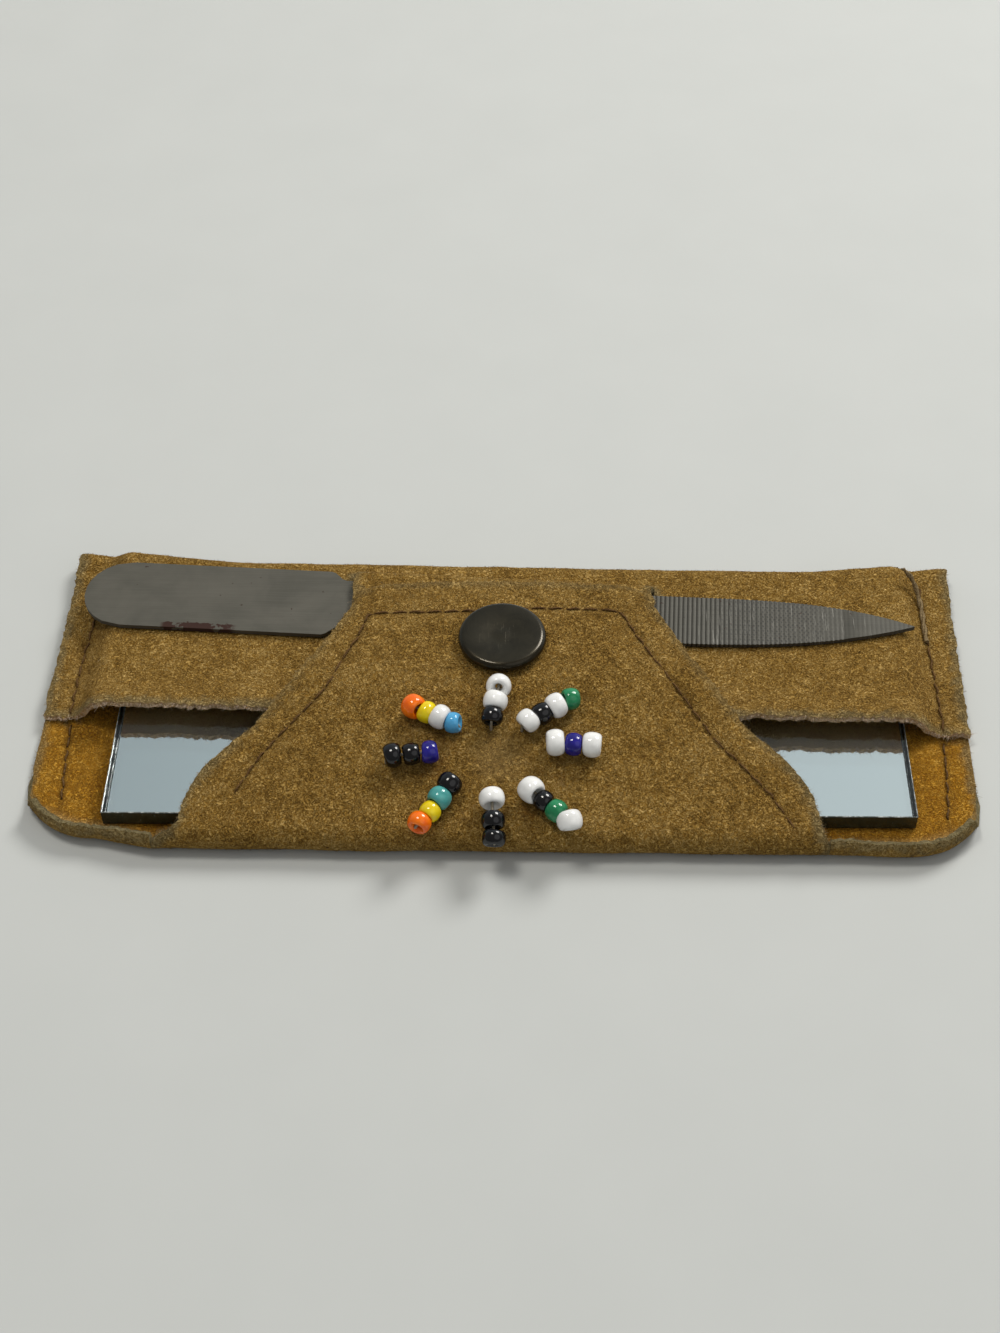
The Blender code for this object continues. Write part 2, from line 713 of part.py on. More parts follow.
def make_mirror():
    bpy.ops.mesh.primitive_cube_add(size=1)
    mirror = bpy.context.object
    mirror.name = "mirror"
    mirror.data.materials.append(material("mirror"))
    mirror.data.transform(Matrix.Diagonal((MIRROR_WIDTH, MIRROR_HEIGHT, MIRROR_THICKNESS, 1)))
    mirror.location = (*MIRROR_CENTRE, MIRROR_BOTTOM + MIRROR_THICKNESS / 2)
    mirror.rotation_euler.z = math.radians(MIRROR_TURN)
    arris = mirror.modifiers.new("Arris", "BEVEL")
    arris.width = MIRROR_ARRIS
    arris.segments = 1
    return mirror


def file_half_width(s):
    """Half the file's width at a distance from its handle end."""
    blade_start = FILE_HANDLE_LENGTH + FILE_SHOULDER_LENGTH
    total = blade_start + FILE_BLADE_LENGTH
    handle = FILE_HANDLE_WIDTH / 2
    blade = FILE_BLADE_WIDTH / 2
    if s < handle:
        return math.sqrt(max(handle ** 2 - (handle - s) ** 2, 0))
    if s < blade_start:
        return mix(handle, blade, ease((s - FILE_HANDLE_LENGTH) / FILE_SHOULDER_LENGTH))
    tapered = max(s - total + FILE_TAPER_LENGTH, 0) / FILE_TAPER_LENGTH
    return blade * (1 - tapered ** FILE_TAPER_POWER)


def file_centre(s):
    """Sideways place of the file's middle, which rises a little towards the tip."""
    total = FILE_HANDLE_LENGTH + FILE_SHOULDER_LENGTH + FILE_BLADE_LENGTH
    return FILE_TIP_RISE * ease((s - total + FILE_TAPER_LENGTH) / FILE_TAPER_LENGTH)


def file_stations():
    """Distances from the handle end, each with the depth cut there by a tooth."""
    blade_start = FILE_HANDLE_LENGTH + FILE_SHOULDER_LENGTH
    total = blade_start + FILE_BLADE_LENGTH
    handle = FILE_HANDLE_WIDTH / 2
    plain = [handle * (1 - math.cos(math.radians(a))) for a in (8, 20, 35, 50, 65, 90)]
    plain += [FILE_HANDLE_LENGTH]
    plain += [FILE_HANDLE_LENGTH + FILE_SHOULDER_LENGTH * share for share in (0.25, 0.5, 0.75, 1)]
    stations = [(s, 0.0) for s in plain]
    first_tooth = blade_start + FILE_TOOTH_START
    last_tooth = total - FILE_SMOOTH_TIP
    count = int((last_tooth - first_tooth) / FILE_TOOTH_PITCH)
    for i in range(count):
        s = first_tooth + i * FILE_TOOTH_PITCH
        stations.append((s, 0.0))
        stations.append((s + FILE_TOOTH_PITCH / 2, FILE_TOOTH_DEPTH))
    stations.append((first_tooth + count * FILE_TOOTH_PITCH, 0.0))
    stations += [(total - FILE_SMOOTH_TIP * share, 0.0) for share in (0.7, 0.45, 0.25, 0.1, 0.03, 0.004)]
    return stations


def make_nail_file():
    """A flat steel file with cross-cut teeth on its upper face, lofted along its length."""
    bm = bmesh.new()
    rings = []
    for s, depth in file_stations():
        half = file_half_width(s)
        middle = file_centre(s)
        top = FILE_THICKNESS - depth
        corners = ((middle - half, 0), (middle + half, 0), (middle + half, top), (middle - half, top))
        rings.append([bm.verts.new((s, across, up)) for across, up in corners])
    for a, b in zip(rings, rings[1:]):
        for i in range(4):
            bm.faces.new((a[i], a[i - 3], b[i - 3], b[i]))
    bm.faces.new(rings[0])
    bm.faces.new(rings[-1])
    bmesh.ops.recalc_face_normals(bm, faces=bm.faces)
    nail_file = new_object("nail_file", mesh_from(bm, "nail_file"), "steel")
    nail_file.location = (FILE_HANDLE_END_X, file_axis(FILE_HANDLE_END_X), FILE_BOTTOM)
    nail_file.rotation_euler.z = math.radians(FILE_TURN)
    return nail_file


def make_snap_cap():
    """Domed cap with a rolled rim, and the tube that rivets it through the flap."""
    rim = CAP_DIAMETER / 2
    top = CAP_HEIGHT
    tube = CAP_TUBE_DIAMETER / 2
    bore = tube - CAP_TUBE_WALL
    tube_end = -(LEATHER + LINING + 3 * CLEARANCE + SOCKET_PLATE)
    profile = [(0, top * 0.91), (rim * 0.36, top * 0.93), (rim * 0.62, top), (rim * 0.83, top * 0.94),
               (rim * 0.95, top * 0.73), (rim, top * 0.44), (rim * 0.97, top * 0.14), (rim * 0.90, 0),
               (tube, 0), (tube, tube_end), (bore, tube_end), (bore, top * 0.4), (0, top * 0.4)]
    cap = turned("snap_cap", profile, 28, "gunmetal")
    cap.location = (SNAP_X, SNAP_Y, CAP_BOTTOM)
    return cap


def make_snap_socket():
    """Flanged ring behind the lining, with a grooved well that the stud presses into."""
    rim = SOCKET_DIAMETER / 2
    seat = CAP_TUBE_DIAMETER / 2 + CLEARANCE
    mouth = STUD_HEAD_DIAMETER / 2 + CLEARANCE
    cavity = mouth + SOCKET_GROOVE
    top = SOCKET_HEIGHT
    under = top - SOCKET_PLATE
    body = cavity + SOCKET_WALL
    profile = [(seat, top), (rim * 0.97, top), (rim, mix(under, top, 0.5)), (rim * 0.97, under),
               (body, under), (body, under * 0.3), (body - SOCKET_WALL / 2, 0), (mouth, 0),
               (mouth, under * 0.25), (cavity, under * 0.5), (cavity, under), (seat, under)]
    socket = turned("snap_socket", profile, 24, "brass")
    socket.location = (SNAP_X, SNAP_Y, SOCKET_BOTTOM)
    return socket


def make_snap_stud():
    """Stud on the strip, with the undercut neck that the socket grips."""
    bore = POST_DIAMETER / 2 + CLEARANCE
    flange = STUD_FLANGE_DIAMETER / 2
    neck = STUD_NECK_DIAMETER / 2
    head = STUD_HEAD_DIAMETER / 2
    top = STUD_HEIGHT
    profile = [(bore, 0), (flange, 0), (flange, STUD_FLANGE), (neck, STUD_FLANGE * 1.1),
               (neck, mix(STUD_FLANGE, top, 0.42)), (head, mix(STUD_FLANGE, top, 0.66)),
               (head, mix(STUD_FLANGE, top, 0.82)), (mix(bore, head, 0.6), top), (bore, top)]
    stud = turned("snap_stud", profile, 24, "brass")
    stud.location = (SNAP_X, SNAP_Y, STUD_BOTTOM)
    return stud


def make_snap_post():
    """Flanged eyelet under the strip that rivets the stud on."""
    flange = POST_FLANGE_DIAMETER / 2
    tube = POST_DIAMETER / 2
    bore = tube - POST_WALL
    top = POST_FLANGE + LEATHER + 2 * CLEARANCE + STUD_HEIGHT * 0.8
    profile = [(bore, 0), (flange, 0), (flange, POST_FLANGE), (tube, POST_FLANGE), (tube, top), (bore, top)]
    post = turned("snap_post", profile, 20, "brass")
    post.location = (SNAP_X, SNAP_Y, SNAP_SEAT - CLEARANCE - POST_FLANGE)
    return post


def flap_crease():
    """An empty on the crease the flap turns about: the outermost line of the fold."""
    empty = bpy.data.objects.new("flap_crease", None)
    bpy.context.scene.collection.objects.link(empty)
    empty.location = (SNAP_X, FOLD_CENTRE.x - FOLD_RADIUS - HALF_LEATHER, FOLD_CENTRE.y)
    return empty


def hang(children, empty):
    """Parent pieces to an empty and leave them where they are."""
    bpy.context.view_layer.update()
    for child in children:
        child.parent = empty
        child.matrix_parent_inverse = empty.matrix_world.inverted()


def set_askew(empty):
    """Turn the flap with its crease a little about the snap, whose place stays."""
    turn = Matrix.Rotation(math.radians(FLAP_TURN), 4, "Z")
    pivot = Matrix.Translation((SNAP_X, SNAP_Y, 0))
    empty.matrix_world = pivot @ turn @ pivot.inverted() @ empty.matrix_world


def build():
    clear_scene()
    make_pouch_body()
    make_mirror()
    make_nail_file()
    make_snap_stud()
    make_snap_post()
    before_flap = set(bpy.data.objects)
    make_flap()
    make_lining()
    make_snap_cap()
    make_snap_socket()
    make_beads()
    make_threads()
    flap_pieces = [made for made in bpy.data.objects if made not in before_flap]
    hinge = flap_crease()
    hang(flap_pieces, hinge)
    set_askew(hinge)


build()
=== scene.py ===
# Looks of the beaded suede pouch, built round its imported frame. Lengths are in metres.

import json
import math
import random

import bmesh
import bpy
import numpy as np
from mathutils import Matrix, Vector, kdtree, noise
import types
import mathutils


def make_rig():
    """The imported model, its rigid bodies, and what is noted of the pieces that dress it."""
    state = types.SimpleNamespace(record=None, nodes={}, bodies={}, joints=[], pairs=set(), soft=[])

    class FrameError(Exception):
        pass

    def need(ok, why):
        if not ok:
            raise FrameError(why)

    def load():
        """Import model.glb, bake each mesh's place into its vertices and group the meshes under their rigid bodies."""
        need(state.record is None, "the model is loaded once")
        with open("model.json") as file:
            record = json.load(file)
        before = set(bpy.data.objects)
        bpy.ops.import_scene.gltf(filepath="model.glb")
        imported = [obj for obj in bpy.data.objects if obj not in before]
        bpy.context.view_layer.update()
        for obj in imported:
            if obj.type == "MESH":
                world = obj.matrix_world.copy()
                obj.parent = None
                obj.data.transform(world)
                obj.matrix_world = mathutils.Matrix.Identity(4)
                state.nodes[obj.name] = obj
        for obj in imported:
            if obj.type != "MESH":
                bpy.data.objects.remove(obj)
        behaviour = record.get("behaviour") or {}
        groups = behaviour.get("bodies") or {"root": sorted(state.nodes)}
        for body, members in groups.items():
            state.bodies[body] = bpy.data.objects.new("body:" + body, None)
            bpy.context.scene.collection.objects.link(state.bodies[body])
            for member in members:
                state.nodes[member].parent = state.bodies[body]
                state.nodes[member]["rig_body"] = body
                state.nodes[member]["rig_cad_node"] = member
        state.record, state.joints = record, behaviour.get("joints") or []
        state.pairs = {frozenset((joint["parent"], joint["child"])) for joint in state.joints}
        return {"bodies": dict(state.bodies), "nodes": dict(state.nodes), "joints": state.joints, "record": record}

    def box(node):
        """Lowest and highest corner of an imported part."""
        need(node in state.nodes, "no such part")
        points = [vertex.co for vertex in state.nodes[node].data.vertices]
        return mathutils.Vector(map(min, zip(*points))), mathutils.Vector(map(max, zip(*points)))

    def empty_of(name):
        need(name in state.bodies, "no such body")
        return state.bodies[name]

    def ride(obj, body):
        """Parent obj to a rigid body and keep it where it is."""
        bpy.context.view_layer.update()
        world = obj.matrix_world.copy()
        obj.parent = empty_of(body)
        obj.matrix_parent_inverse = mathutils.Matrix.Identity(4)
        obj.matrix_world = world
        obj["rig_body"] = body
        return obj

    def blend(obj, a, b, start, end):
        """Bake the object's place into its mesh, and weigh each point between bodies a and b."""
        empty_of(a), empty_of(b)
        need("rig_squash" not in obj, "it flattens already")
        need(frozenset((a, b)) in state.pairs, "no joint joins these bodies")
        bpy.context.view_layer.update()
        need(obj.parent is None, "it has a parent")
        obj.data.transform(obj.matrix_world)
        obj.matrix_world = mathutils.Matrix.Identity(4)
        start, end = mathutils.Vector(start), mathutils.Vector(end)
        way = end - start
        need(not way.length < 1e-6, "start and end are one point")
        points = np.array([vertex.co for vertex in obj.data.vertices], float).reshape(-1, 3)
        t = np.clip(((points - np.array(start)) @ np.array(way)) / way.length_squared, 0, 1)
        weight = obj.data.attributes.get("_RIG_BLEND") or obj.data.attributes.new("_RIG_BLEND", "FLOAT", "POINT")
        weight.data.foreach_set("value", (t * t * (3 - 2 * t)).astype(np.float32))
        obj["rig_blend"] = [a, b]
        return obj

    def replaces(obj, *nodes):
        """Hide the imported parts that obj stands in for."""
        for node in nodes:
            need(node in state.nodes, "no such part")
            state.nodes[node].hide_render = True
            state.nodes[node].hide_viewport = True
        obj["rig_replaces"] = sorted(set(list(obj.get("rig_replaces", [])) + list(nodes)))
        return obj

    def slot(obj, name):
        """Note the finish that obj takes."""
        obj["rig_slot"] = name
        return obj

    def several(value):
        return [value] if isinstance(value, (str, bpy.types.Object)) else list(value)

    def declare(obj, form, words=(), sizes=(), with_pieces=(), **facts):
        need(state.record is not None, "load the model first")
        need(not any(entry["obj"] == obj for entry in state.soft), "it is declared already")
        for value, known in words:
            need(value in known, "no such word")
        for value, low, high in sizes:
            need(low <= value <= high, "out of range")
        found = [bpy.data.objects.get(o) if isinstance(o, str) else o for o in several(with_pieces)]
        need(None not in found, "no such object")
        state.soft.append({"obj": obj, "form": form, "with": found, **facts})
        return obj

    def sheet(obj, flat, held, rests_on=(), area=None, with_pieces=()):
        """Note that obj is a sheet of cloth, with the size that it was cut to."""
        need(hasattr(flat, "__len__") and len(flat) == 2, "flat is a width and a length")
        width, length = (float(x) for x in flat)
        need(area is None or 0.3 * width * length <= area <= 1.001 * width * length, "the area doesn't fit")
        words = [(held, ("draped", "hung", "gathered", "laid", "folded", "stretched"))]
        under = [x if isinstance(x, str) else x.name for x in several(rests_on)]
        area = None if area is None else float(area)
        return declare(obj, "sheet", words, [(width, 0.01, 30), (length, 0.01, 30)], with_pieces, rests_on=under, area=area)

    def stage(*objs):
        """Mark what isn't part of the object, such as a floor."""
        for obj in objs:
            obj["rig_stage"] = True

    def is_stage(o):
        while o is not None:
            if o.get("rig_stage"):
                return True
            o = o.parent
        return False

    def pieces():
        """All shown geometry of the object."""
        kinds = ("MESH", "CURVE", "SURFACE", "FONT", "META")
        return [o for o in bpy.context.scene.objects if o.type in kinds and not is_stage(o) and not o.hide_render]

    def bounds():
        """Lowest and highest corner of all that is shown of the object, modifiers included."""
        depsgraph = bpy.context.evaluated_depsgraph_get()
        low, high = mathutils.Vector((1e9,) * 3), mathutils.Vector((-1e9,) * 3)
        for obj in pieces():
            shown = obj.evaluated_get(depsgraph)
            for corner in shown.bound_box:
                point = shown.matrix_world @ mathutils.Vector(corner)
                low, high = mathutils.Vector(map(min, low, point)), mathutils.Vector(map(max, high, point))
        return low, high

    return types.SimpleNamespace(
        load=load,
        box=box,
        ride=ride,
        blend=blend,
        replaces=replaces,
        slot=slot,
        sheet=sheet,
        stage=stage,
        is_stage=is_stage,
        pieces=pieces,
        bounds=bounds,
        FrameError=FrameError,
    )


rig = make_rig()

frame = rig.load()
cad_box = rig.bounds()
chance = random.Random(7)

# Sizes of the case and its pieces. They are the solids' own, except that the lower edge, the fold and the
# curled lips follow the photograph more closely.
CLEARANCE = 0.0003
CASE_WIDTH = 0.1520
LEATHER = 0.0012
HALF_LEATHER = LEATHER / 2
TOP_FOLD_Y = 0.0260
TOP_CORNER_Y = 0.0305
BACK_EDGE_Y = -0.0271
FLAP_FOLD_Y = -0.0278
FLAP_TURN = math.radians(0.95)
CORNER_LIFT = 0.0010
CORNER_LIFT_REACH = 0.0090
BOTTOM_CORNER_RADIUS = 0.0117
CURL_RADIUS = 0.0022
CURL_ANGLE = 125
MARGIN_AT_SIDES = 0.0030
CURL_ANGLE_AT_SIDES = 8
SEAM_X = CASE_WIDTH / 2 - 0.0050
STRIP_EDGE_Y = -0.0054
STRIP_EDGE_SAG = 0.0011
STRIP_LIP_LIFT = 0.0014
STRIP_LIP_LENGTH = 0.0080
STRIP_STEEPNESS_LEFT = 1.45
SLIT_LEFT = -0.0265
SLIT_RIGHT = 0.0247
SLIT_WIDTH = 0.0004
SLIT_ABOVE_FILE = 0.0020
SLIT_BELOW_FILE = 0.0034
MIRROR_WIDTH = 0.1282
MIRROR_HEIGHT = 0.0500
MIRROR_CENTRE = (0.0009, -0.0004)
MIRROR_TURN = math.radians(1.17)
MIRROR_TOP = 0.0045
STRIP_ON_BACK = 0.0015
STRIP_ON_MIRROR = 0.0048
STRIP_OVER_FILE = 0.0074
FILE_BLADE_WIDTH = 0.0107
FILE_AXIS_Y = 0.0158
FILE_TURN = math.radians(-2.3)
FLAP_TIP_Y = 0.0190
FLAP_TIP_WIDTH = 0.0504
FLAP_ROOT_WIDTH = 0.1000
FLAP_WAIST = 0.0016
FLAP_BELLY = 0.0023
FLAP_BELLY_START = 0.6
FLAP_SHOULDER_LENGTH = 0.0055
FLAP_CROWN = 0.0014
FLAP_CORNER = 0.0016
FLAP_CENTRE_X = -0.0005
FLAP_FLARE_LEFT = 0.0042
FLAP_FLARE_RIGHT = 0.0014
FLAP_DROOP = 0.0009
FLAP_DROOP_WIDTH = 0.0050
FLAP_BEND_RADIUS = 0.0220
FLAP_AT_SNAP = 0.0107
FLAP_AT_TIP = 0.0099
SNAP_X = -0.0004
SNAP_Y = 0.0043
SNAP_SEAT = 0.0058
SNAP_SEAT_RADIUS = 0.0038
SNAP_FLAT = 0.0062
FOLD_RADIUS = 0.0024
CAP_BOTTOM = 0.0122
FILE_START = Vector((-0.0725, 0.0158 + 0.0725 * math.tan(math.radians(2.3))))
FIRST_TOOTH = 0.0515
LAST_TOOTH = 0.1300
TOOTH_PITCH = 0.00077
FOLD_CENTRE = Vector((FLAP_FOLD_Y, HALF_LEATHER + FOLD_RADIUS))
BEAD_DIAMETER = 0.0039
BEAD_HOLE_RADIUS = 0.00056
NYLON_RADIUS = 0.00024
NYLON_PAST_BEADS = 0.0012
MIRROR_THICKNESS = 0.0030
COLUMN_SPACING = 0.00055
STITCH_PITCH = 0.0027
STITCH_RADIUS = 0.00019
FLAP_STITCH_PITCH = 0.0029
FLAP_STITCH_RADIUS = 0.00018
TAIL_STRAND_RADIUS = 0.00028
TAIL_STRAND_FROM_MIDDLE = 0.00019
TAIL_TWIST = 17
LINING_FLAT = (0.0820, 0.0360)
LINING_AREA = 0.00203

# Diameters of the beads, in the order of their numbers
BEAD_SIZES = (
    0.0036, 0.0040, 0.0041, 0.0039, 0.0036, 0.0041, 0.0036, 0.0043, 0.0037, 0.0041, 0.0042, 0.0034, 0.0036,
    0.0041, 0.0041, 0.0038, 0.0038, 0.0040, 0.0038, 0.0034, 0.0038, 0.0037, 0.0036, 0.0040, 0.0034, 0.0040,
    0.0036, 0.0040,
)

# Lines of stitches on the flap, as seen from above
FLAP_SEAM = (
    (-0.0415, -0.0239), (-0.0405, -0.0219), (-0.0382, -0.0178), (-0.0339, -0.0121), (-0.0305, -0.0079),
    (-0.0284, -0.0050), (-0.0261, 0.0008), (-0.0242, 0.0051), (-0.0233, 0.0088), (-0.0229, 0.0100),
    (-0.0217, 0.0106), (-0.0163, 0.0109), (-0.0077, 0.0114), (0.0052, 0.0125), (0.0159, 0.0124),
    (0.0187, 0.0120), (0.0198, 0.0104), (0.0215, 0.0068), (0.0238, 0.0026), (0.0274, -0.0032),
    (0.0339, -0.0130), (0.0383, -0.0176), (0.0423, -0.0220), (0.0466, -0.0286),
)


# Shapes of the suede

def ease(value):
    value = min(max(value, 0.0), 1.0)
    return value * value * (3 - 2 * value)


def mix(low, high, share):
    return low + (high - low) * share


def file_axis(x):
    return FILE_AXIS_Y + math.tan(FILE_TURN) * x


def over_mirror(x, steepness_left=STRIP_STEEPNESS_LEFT):
    half = MIRROR_WIDTH / 2 + 2 * CLEARANCE
    left = (x + SEAM_X) / (MIRROR_CENTRE[0] - half + SEAM_X)
    right = (SEAM_X - x) / (SEAM_X - MIRROR_CENTRE[0] - half)
    return ease(min(steepness_left * left, right))


def slit_ends(slit_x):
    half = FILE_BLADE_WIDTH / 2
    centre = file_axis(slit_x)
    return centre - half - SLIT_BELOW_FILE, centre + half + SLIT_ABOVE_FILE


def slit_side(x, y, slit_x):
    low, high = slit_ends(slit_x)
    across = x - slit_x
    above = math.hypot(across, y - high) - (y - high)
    below = math.hypot(across, y - low) + (y - low)
    opened = math.sqrt(max(above, 0) * max(below, 0)) / 2
    full = math.sqrt(SLIT_ABOVE_FILE * (high - low)) * 0.85
    return math.copysign(min(opened / full, 1.0), across)


def over_file(x, y):
    left = 0.5 + 0.5 * slit_side(x, y, SLIT_LEFT)
    right = 0.5 - 0.5 * slit_side(x, y, SLIT_RIGHT)
    from_axis = y - file_axis(x)
    reach = FILE_BLADE_WIDTH / 2 + CLEARANCE
    fall = SLIT_ABOVE_FILE + LEATHER if from_axis > 0 else SLIT_BELOW_FILE - CLEARANCE
    return left * right * (1 - ease((abs(from_axis) - reach) / fall))


def snap_seat(x, y):
    away = math.hypot(x - SNAP_X, y - SNAP_Y)
    return 1 - ease((away - SNAP_SEAT_RADIUS) / SNAP_SEAT_RADIUS)


def strip_edge(x):
    return STRIP_EDGE_Y - STRIP_EDGE_SAG * over_mirror(x) * (1 - (x / CASE_WIDTH) ** 2)


def corner_lift(x, y):
    outward = ease((abs(x) - CASE_WIDTH / 2 + CORNER_LIFT_REACH) / CORNER_LIFT_REACH)
    upward = ease((y - TOP_CORNER_Y + CORNER_LIFT_REACH) / CORNER_LIFT_REACH)
    return CORNER_LIFT * outward * upward


def strip_height(x, y):
    held = over_mirror(x)
    low = mix(STRIP_ON_BACK, STRIP_ON_MIRROR, held)
    lip = 1 - ease((y - strip_edge(x)) / STRIP_LIP_LENGTH)
    base = low + STRIP_LIP_LIFT * held * lip
    base += (STRIP_OVER_FILE - STRIP_ON_MIRROR) * over_file(x, y)
    base = mix(base, SNAP_SEAT, snap_seat(x, y) * (1 - over_file(x, y)))
    return base + HALF_LEATHER + corner_lift(x, y)


def round_corner(x):
    start = CASE_WIDTH / 2 - BOTTOM_CORNER_RADIUS
    return min(max(abs(x) - start, 0) / BOTTOM_CORNER_RADIUS, 1)


def back_edge(x):
    beyond = round_corner(x)
    return BACK_EDGE_Y + BOTTOM_CORNER_RADIUS * (1 - math.sqrt(1 - beyond * beyond))


def fold_y(x):
    return FLAP_FOLD_Y + math.tan(FLAP_TURN) * (x - SNAP_X)


def fillet(before, corner, after, radius):
    arrive = (corner - before).normalized()
    leave = (after - corner).normalized()
    turn = arrive.angle_signed(leave)
    length = radius * math.tan(abs(turn) / 2)
    side = Vector((arrive.y, -arrive.x)) * math.copysign(1, turn)
    start = corner - arrive * length
    centre = start + side * radius
    return [centre + Matrix.Rotation(-turn * i / 8, 2) @ (start - centre) for i in range(9)]


def flap_profile():
    seat = FLAP_AT_SNAP + HALF_LEATHER
    rise = Vector((SNAP_Y - SNAP_FLAT, seat))
    away = rise - FOLD_CENTRE
    slope = math.atan2(away.y, away.x) - math.asin(FOLD_RADIUS / away.length)
    points = []
    for i in range(25):
        turn = mix(math.pi / 2, math.pi - slope, i / 24)
        points.append(FOLD_CENTRE + FOLD_RADIUS * Vector((-math.sin(turn), -math.cos(turn))))
    tip = Vector((FLAP_TIP_Y, FLAP_AT_TIP + HALF_LEATHER))
    corners = [points[-1], rise, Vector((SNAP_Y + SNAP_FLAT, seat)), tip]
    for before, corner, after in zip(corners, corners[1:], corners[2:]):
        points += fillet(before, corner, after, FLAP_BEND_RADIUS)
    return points + [tip]


class Line:
    """A line of points that can be asked for its place at a distance along it."""

    def __init__(self, points):
        self.points = points
        self.distances = [0.0]
        for a, b in zip(points, points[1:]):
            self.distances.append(self.distances[-1] + (b - a).length)
        self.length = self.distances[-1]

    def at(self, distance):
        last = len(self.points) - 2
        i = 0
        while i < last and self.distances[i + 1] < distance:
            i += 1
        a, b = self.points[i], self.points[i + 1]
        direction = (b - a).normalized()
        return a + direction * (distance - self.distances[i]), direction

    def distance_at(self, first_value):
        for i, (a, b) in enumerate(zip(self.points, self.points[1:])):
            if a[0] <= first_value <= b[0]:
                return mix(self.distances[i], self.distances[i + 1], (first_value - a[0]) / (b[0] - a[0]))
        return self.length


FLAP_LINE = Line(flap_profile())
TOP_OF_FOLD = FLAP_LINE.distance_at(FLAP_FOLD_Y)
SNAP_PIVOT = Matrix.Translation((SNAP_X, SNAP_Y, 0))
ASKEW = SNAP_PIVOT @ Matrix.Rotation(FLAP_TURN, 4, "Z") @ SNAP_PIVOT.inverted()
UNTURNED = ASKEW.inverted()


def flap_point(x, distance, height):
    place, along = FLAP_LINE.at(distance)
    raised = place + Vector((-along.y, along.x)) * height
    return ASKEW @ Vector((x, raised.x, raised.y))


def flap_half_width(distance, side):
    body_length = FLAP_LINE.length - FLAP_SHOULDER_LENGTH - TOP_OF_FOLD
    share = (FLAP_LINE.length - FLAP_SHOULDER_LENGTH - distance) / body_length
    share = min(max(share, 0), 1)
    half = mix(FLAP_TIP_WIDTH, FLAP_ROOT_WIDTH, share) / 2
    half -= FLAP_WAIST * math.sin(math.pi * share) * (1 - share)
    belly = max(share - FLAP_BELLY_START, 0) / (1 - FLAP_BELLY_START)
    half += FLAP_BELLY * math.sin(math.pi * belly)
    flare = FLAP_FLARE_LEFT if side < 0 else FLAP_FLARE_RIGHT
    return half + flare * (1 - ease(distance / TOP_OF_FOLD))


def flap_height_point(x, y, height):
    """A place over the flap, at a height above its mid layer, from where it is seen from above."""
    flat = UNTURNED @ Vector((x, y, 0))
    return flap_point(flat.x, FLAP_LINE.distance_at(flat.y), height)


def flap_droop(u, half, distance):
    from_edge = (1 - abs(u)) * half / FLAP_DROOP_WIDTH
    crown_start = FLAP_LINE.length / 2
    grown = ease((distance - TOP_OF_FOLD) / crown_start)
    return FLAP_DROOP * (1 - ease(from_edge)) * grown


def stations(marks, spacing):
    """Places between marks, evenly spread in each stretch, the marks included."""
    places = []
    for start, end in zip(marks, marks[1:]):
        count = max(1, round(abs(end - start) / spacing))
        places += [mix(start, end, i / count) for i in range(count)]
    return places + [marks[-1]]


ROOT_SHIFT = math.sin(FLAP_TURN) * (SNAP_Y - FOLD_CENTRE.x + FOLD_RADIUS)
ROOT_LEFT = FLAP_CENTRE_X - FLAP_ROOT_WIDTH / 2 - FLAP_FLARE_LEFT + ROOT_SHIFT
ROOT_RIGHT = FLAP_CENTRE_X + FLAP_ROOT_WIDTH / 2 + FLAP_FLARE_RIGHT + ROOT_SHIFT
ROOT_REACH = 0.0095
LIP_SWEEP_AT_ROOT = 130
TOP_SLOPE_REACH = 0.0320
SPLIT_Y = -0.0235
HALF_SLIT = SLIT_WIDTH / 2
COLUMNS = stations([-CASE_WIDTH / 2, -SEAM_X, ROOT_LEFT, SLIT_LEFT - HALF_SLIT, SLIT_LEFT + HALF_SLIT,
                    SLIT_RIGHT - HALF_SLIT, SLIT_RIGHT + HALF_SLIT, ROOT_RIGHT, SEAM_X, CASE_WIDTH / 2],
                   COLUMN_SPACING)
FIRST = COLUMNS.index(ROOT_LEFT)
LAST = COLUMNS.index(ROOT_RIGHT)
MARGIN_STEPS = 6
CURL_STEPS = 9
BACK_STEPS = 60
FOLD_STEPS = 12
ABOVE_SLIT_STEPS = 8
SLIT_STEPS = 20
BELOW_SLIT_STEPS = 16
SLIT_START = BACK_STEPS + FOLD_STEPS + ABOVE_SLIT_STEPS


def near_root(x):
    """1 along the flap's root, falling to 0 a little beyond its ends."""
    beyond = max(ROOT_LEFT - x, x - ROOT_RIGHT, 0)
    return mix(1 - ease(beyond / ROOT_REACH), 1 - min(beyond / ROOT_REACH, 1), 0.6)


def split_y(x):
    return max(SPLIT_Y, back_edge(x) + 0.0012)


def lower_margin(x, root_sweep=90):
    """Mid-layer points from the split line under the mirror down to the lip's edge or the flap's crease."""
    root = near_root(x)
    aside = ease(5 * round_corner(x) - 4)
    curl = mix(CURL_ANGLE, CURL_ANGLE_AT_SIDES, aside)
    margin = mix(CURL_RADIUS * math.radians(CURL_ANGLE), MARGIN_AT_SIDES, aside)
    radius = mix(margin / math.radians(curl), FOLD_RADIUS, root)
    sweep = mix(curl, root_sweep, root)
    low = mix(back_edge(x), fold_y(x), root)
    points = []
    for i in range(MARGIN_STEPS + 1):
        points.append(Vector((x, mix(split_y(x), low, i / MARGIN_STEPS), HALF_LEATHER)))
    for i in range(1, CURL_STEPS + 1):
        turn = math.radians(sweep * i / CURL_STEPS)
        rise = radius * (1 - math.cos(turn))
        points.append(Vector((x, low - radius * math.sin(turn), HALF_LEATHER + rise)))
    return points


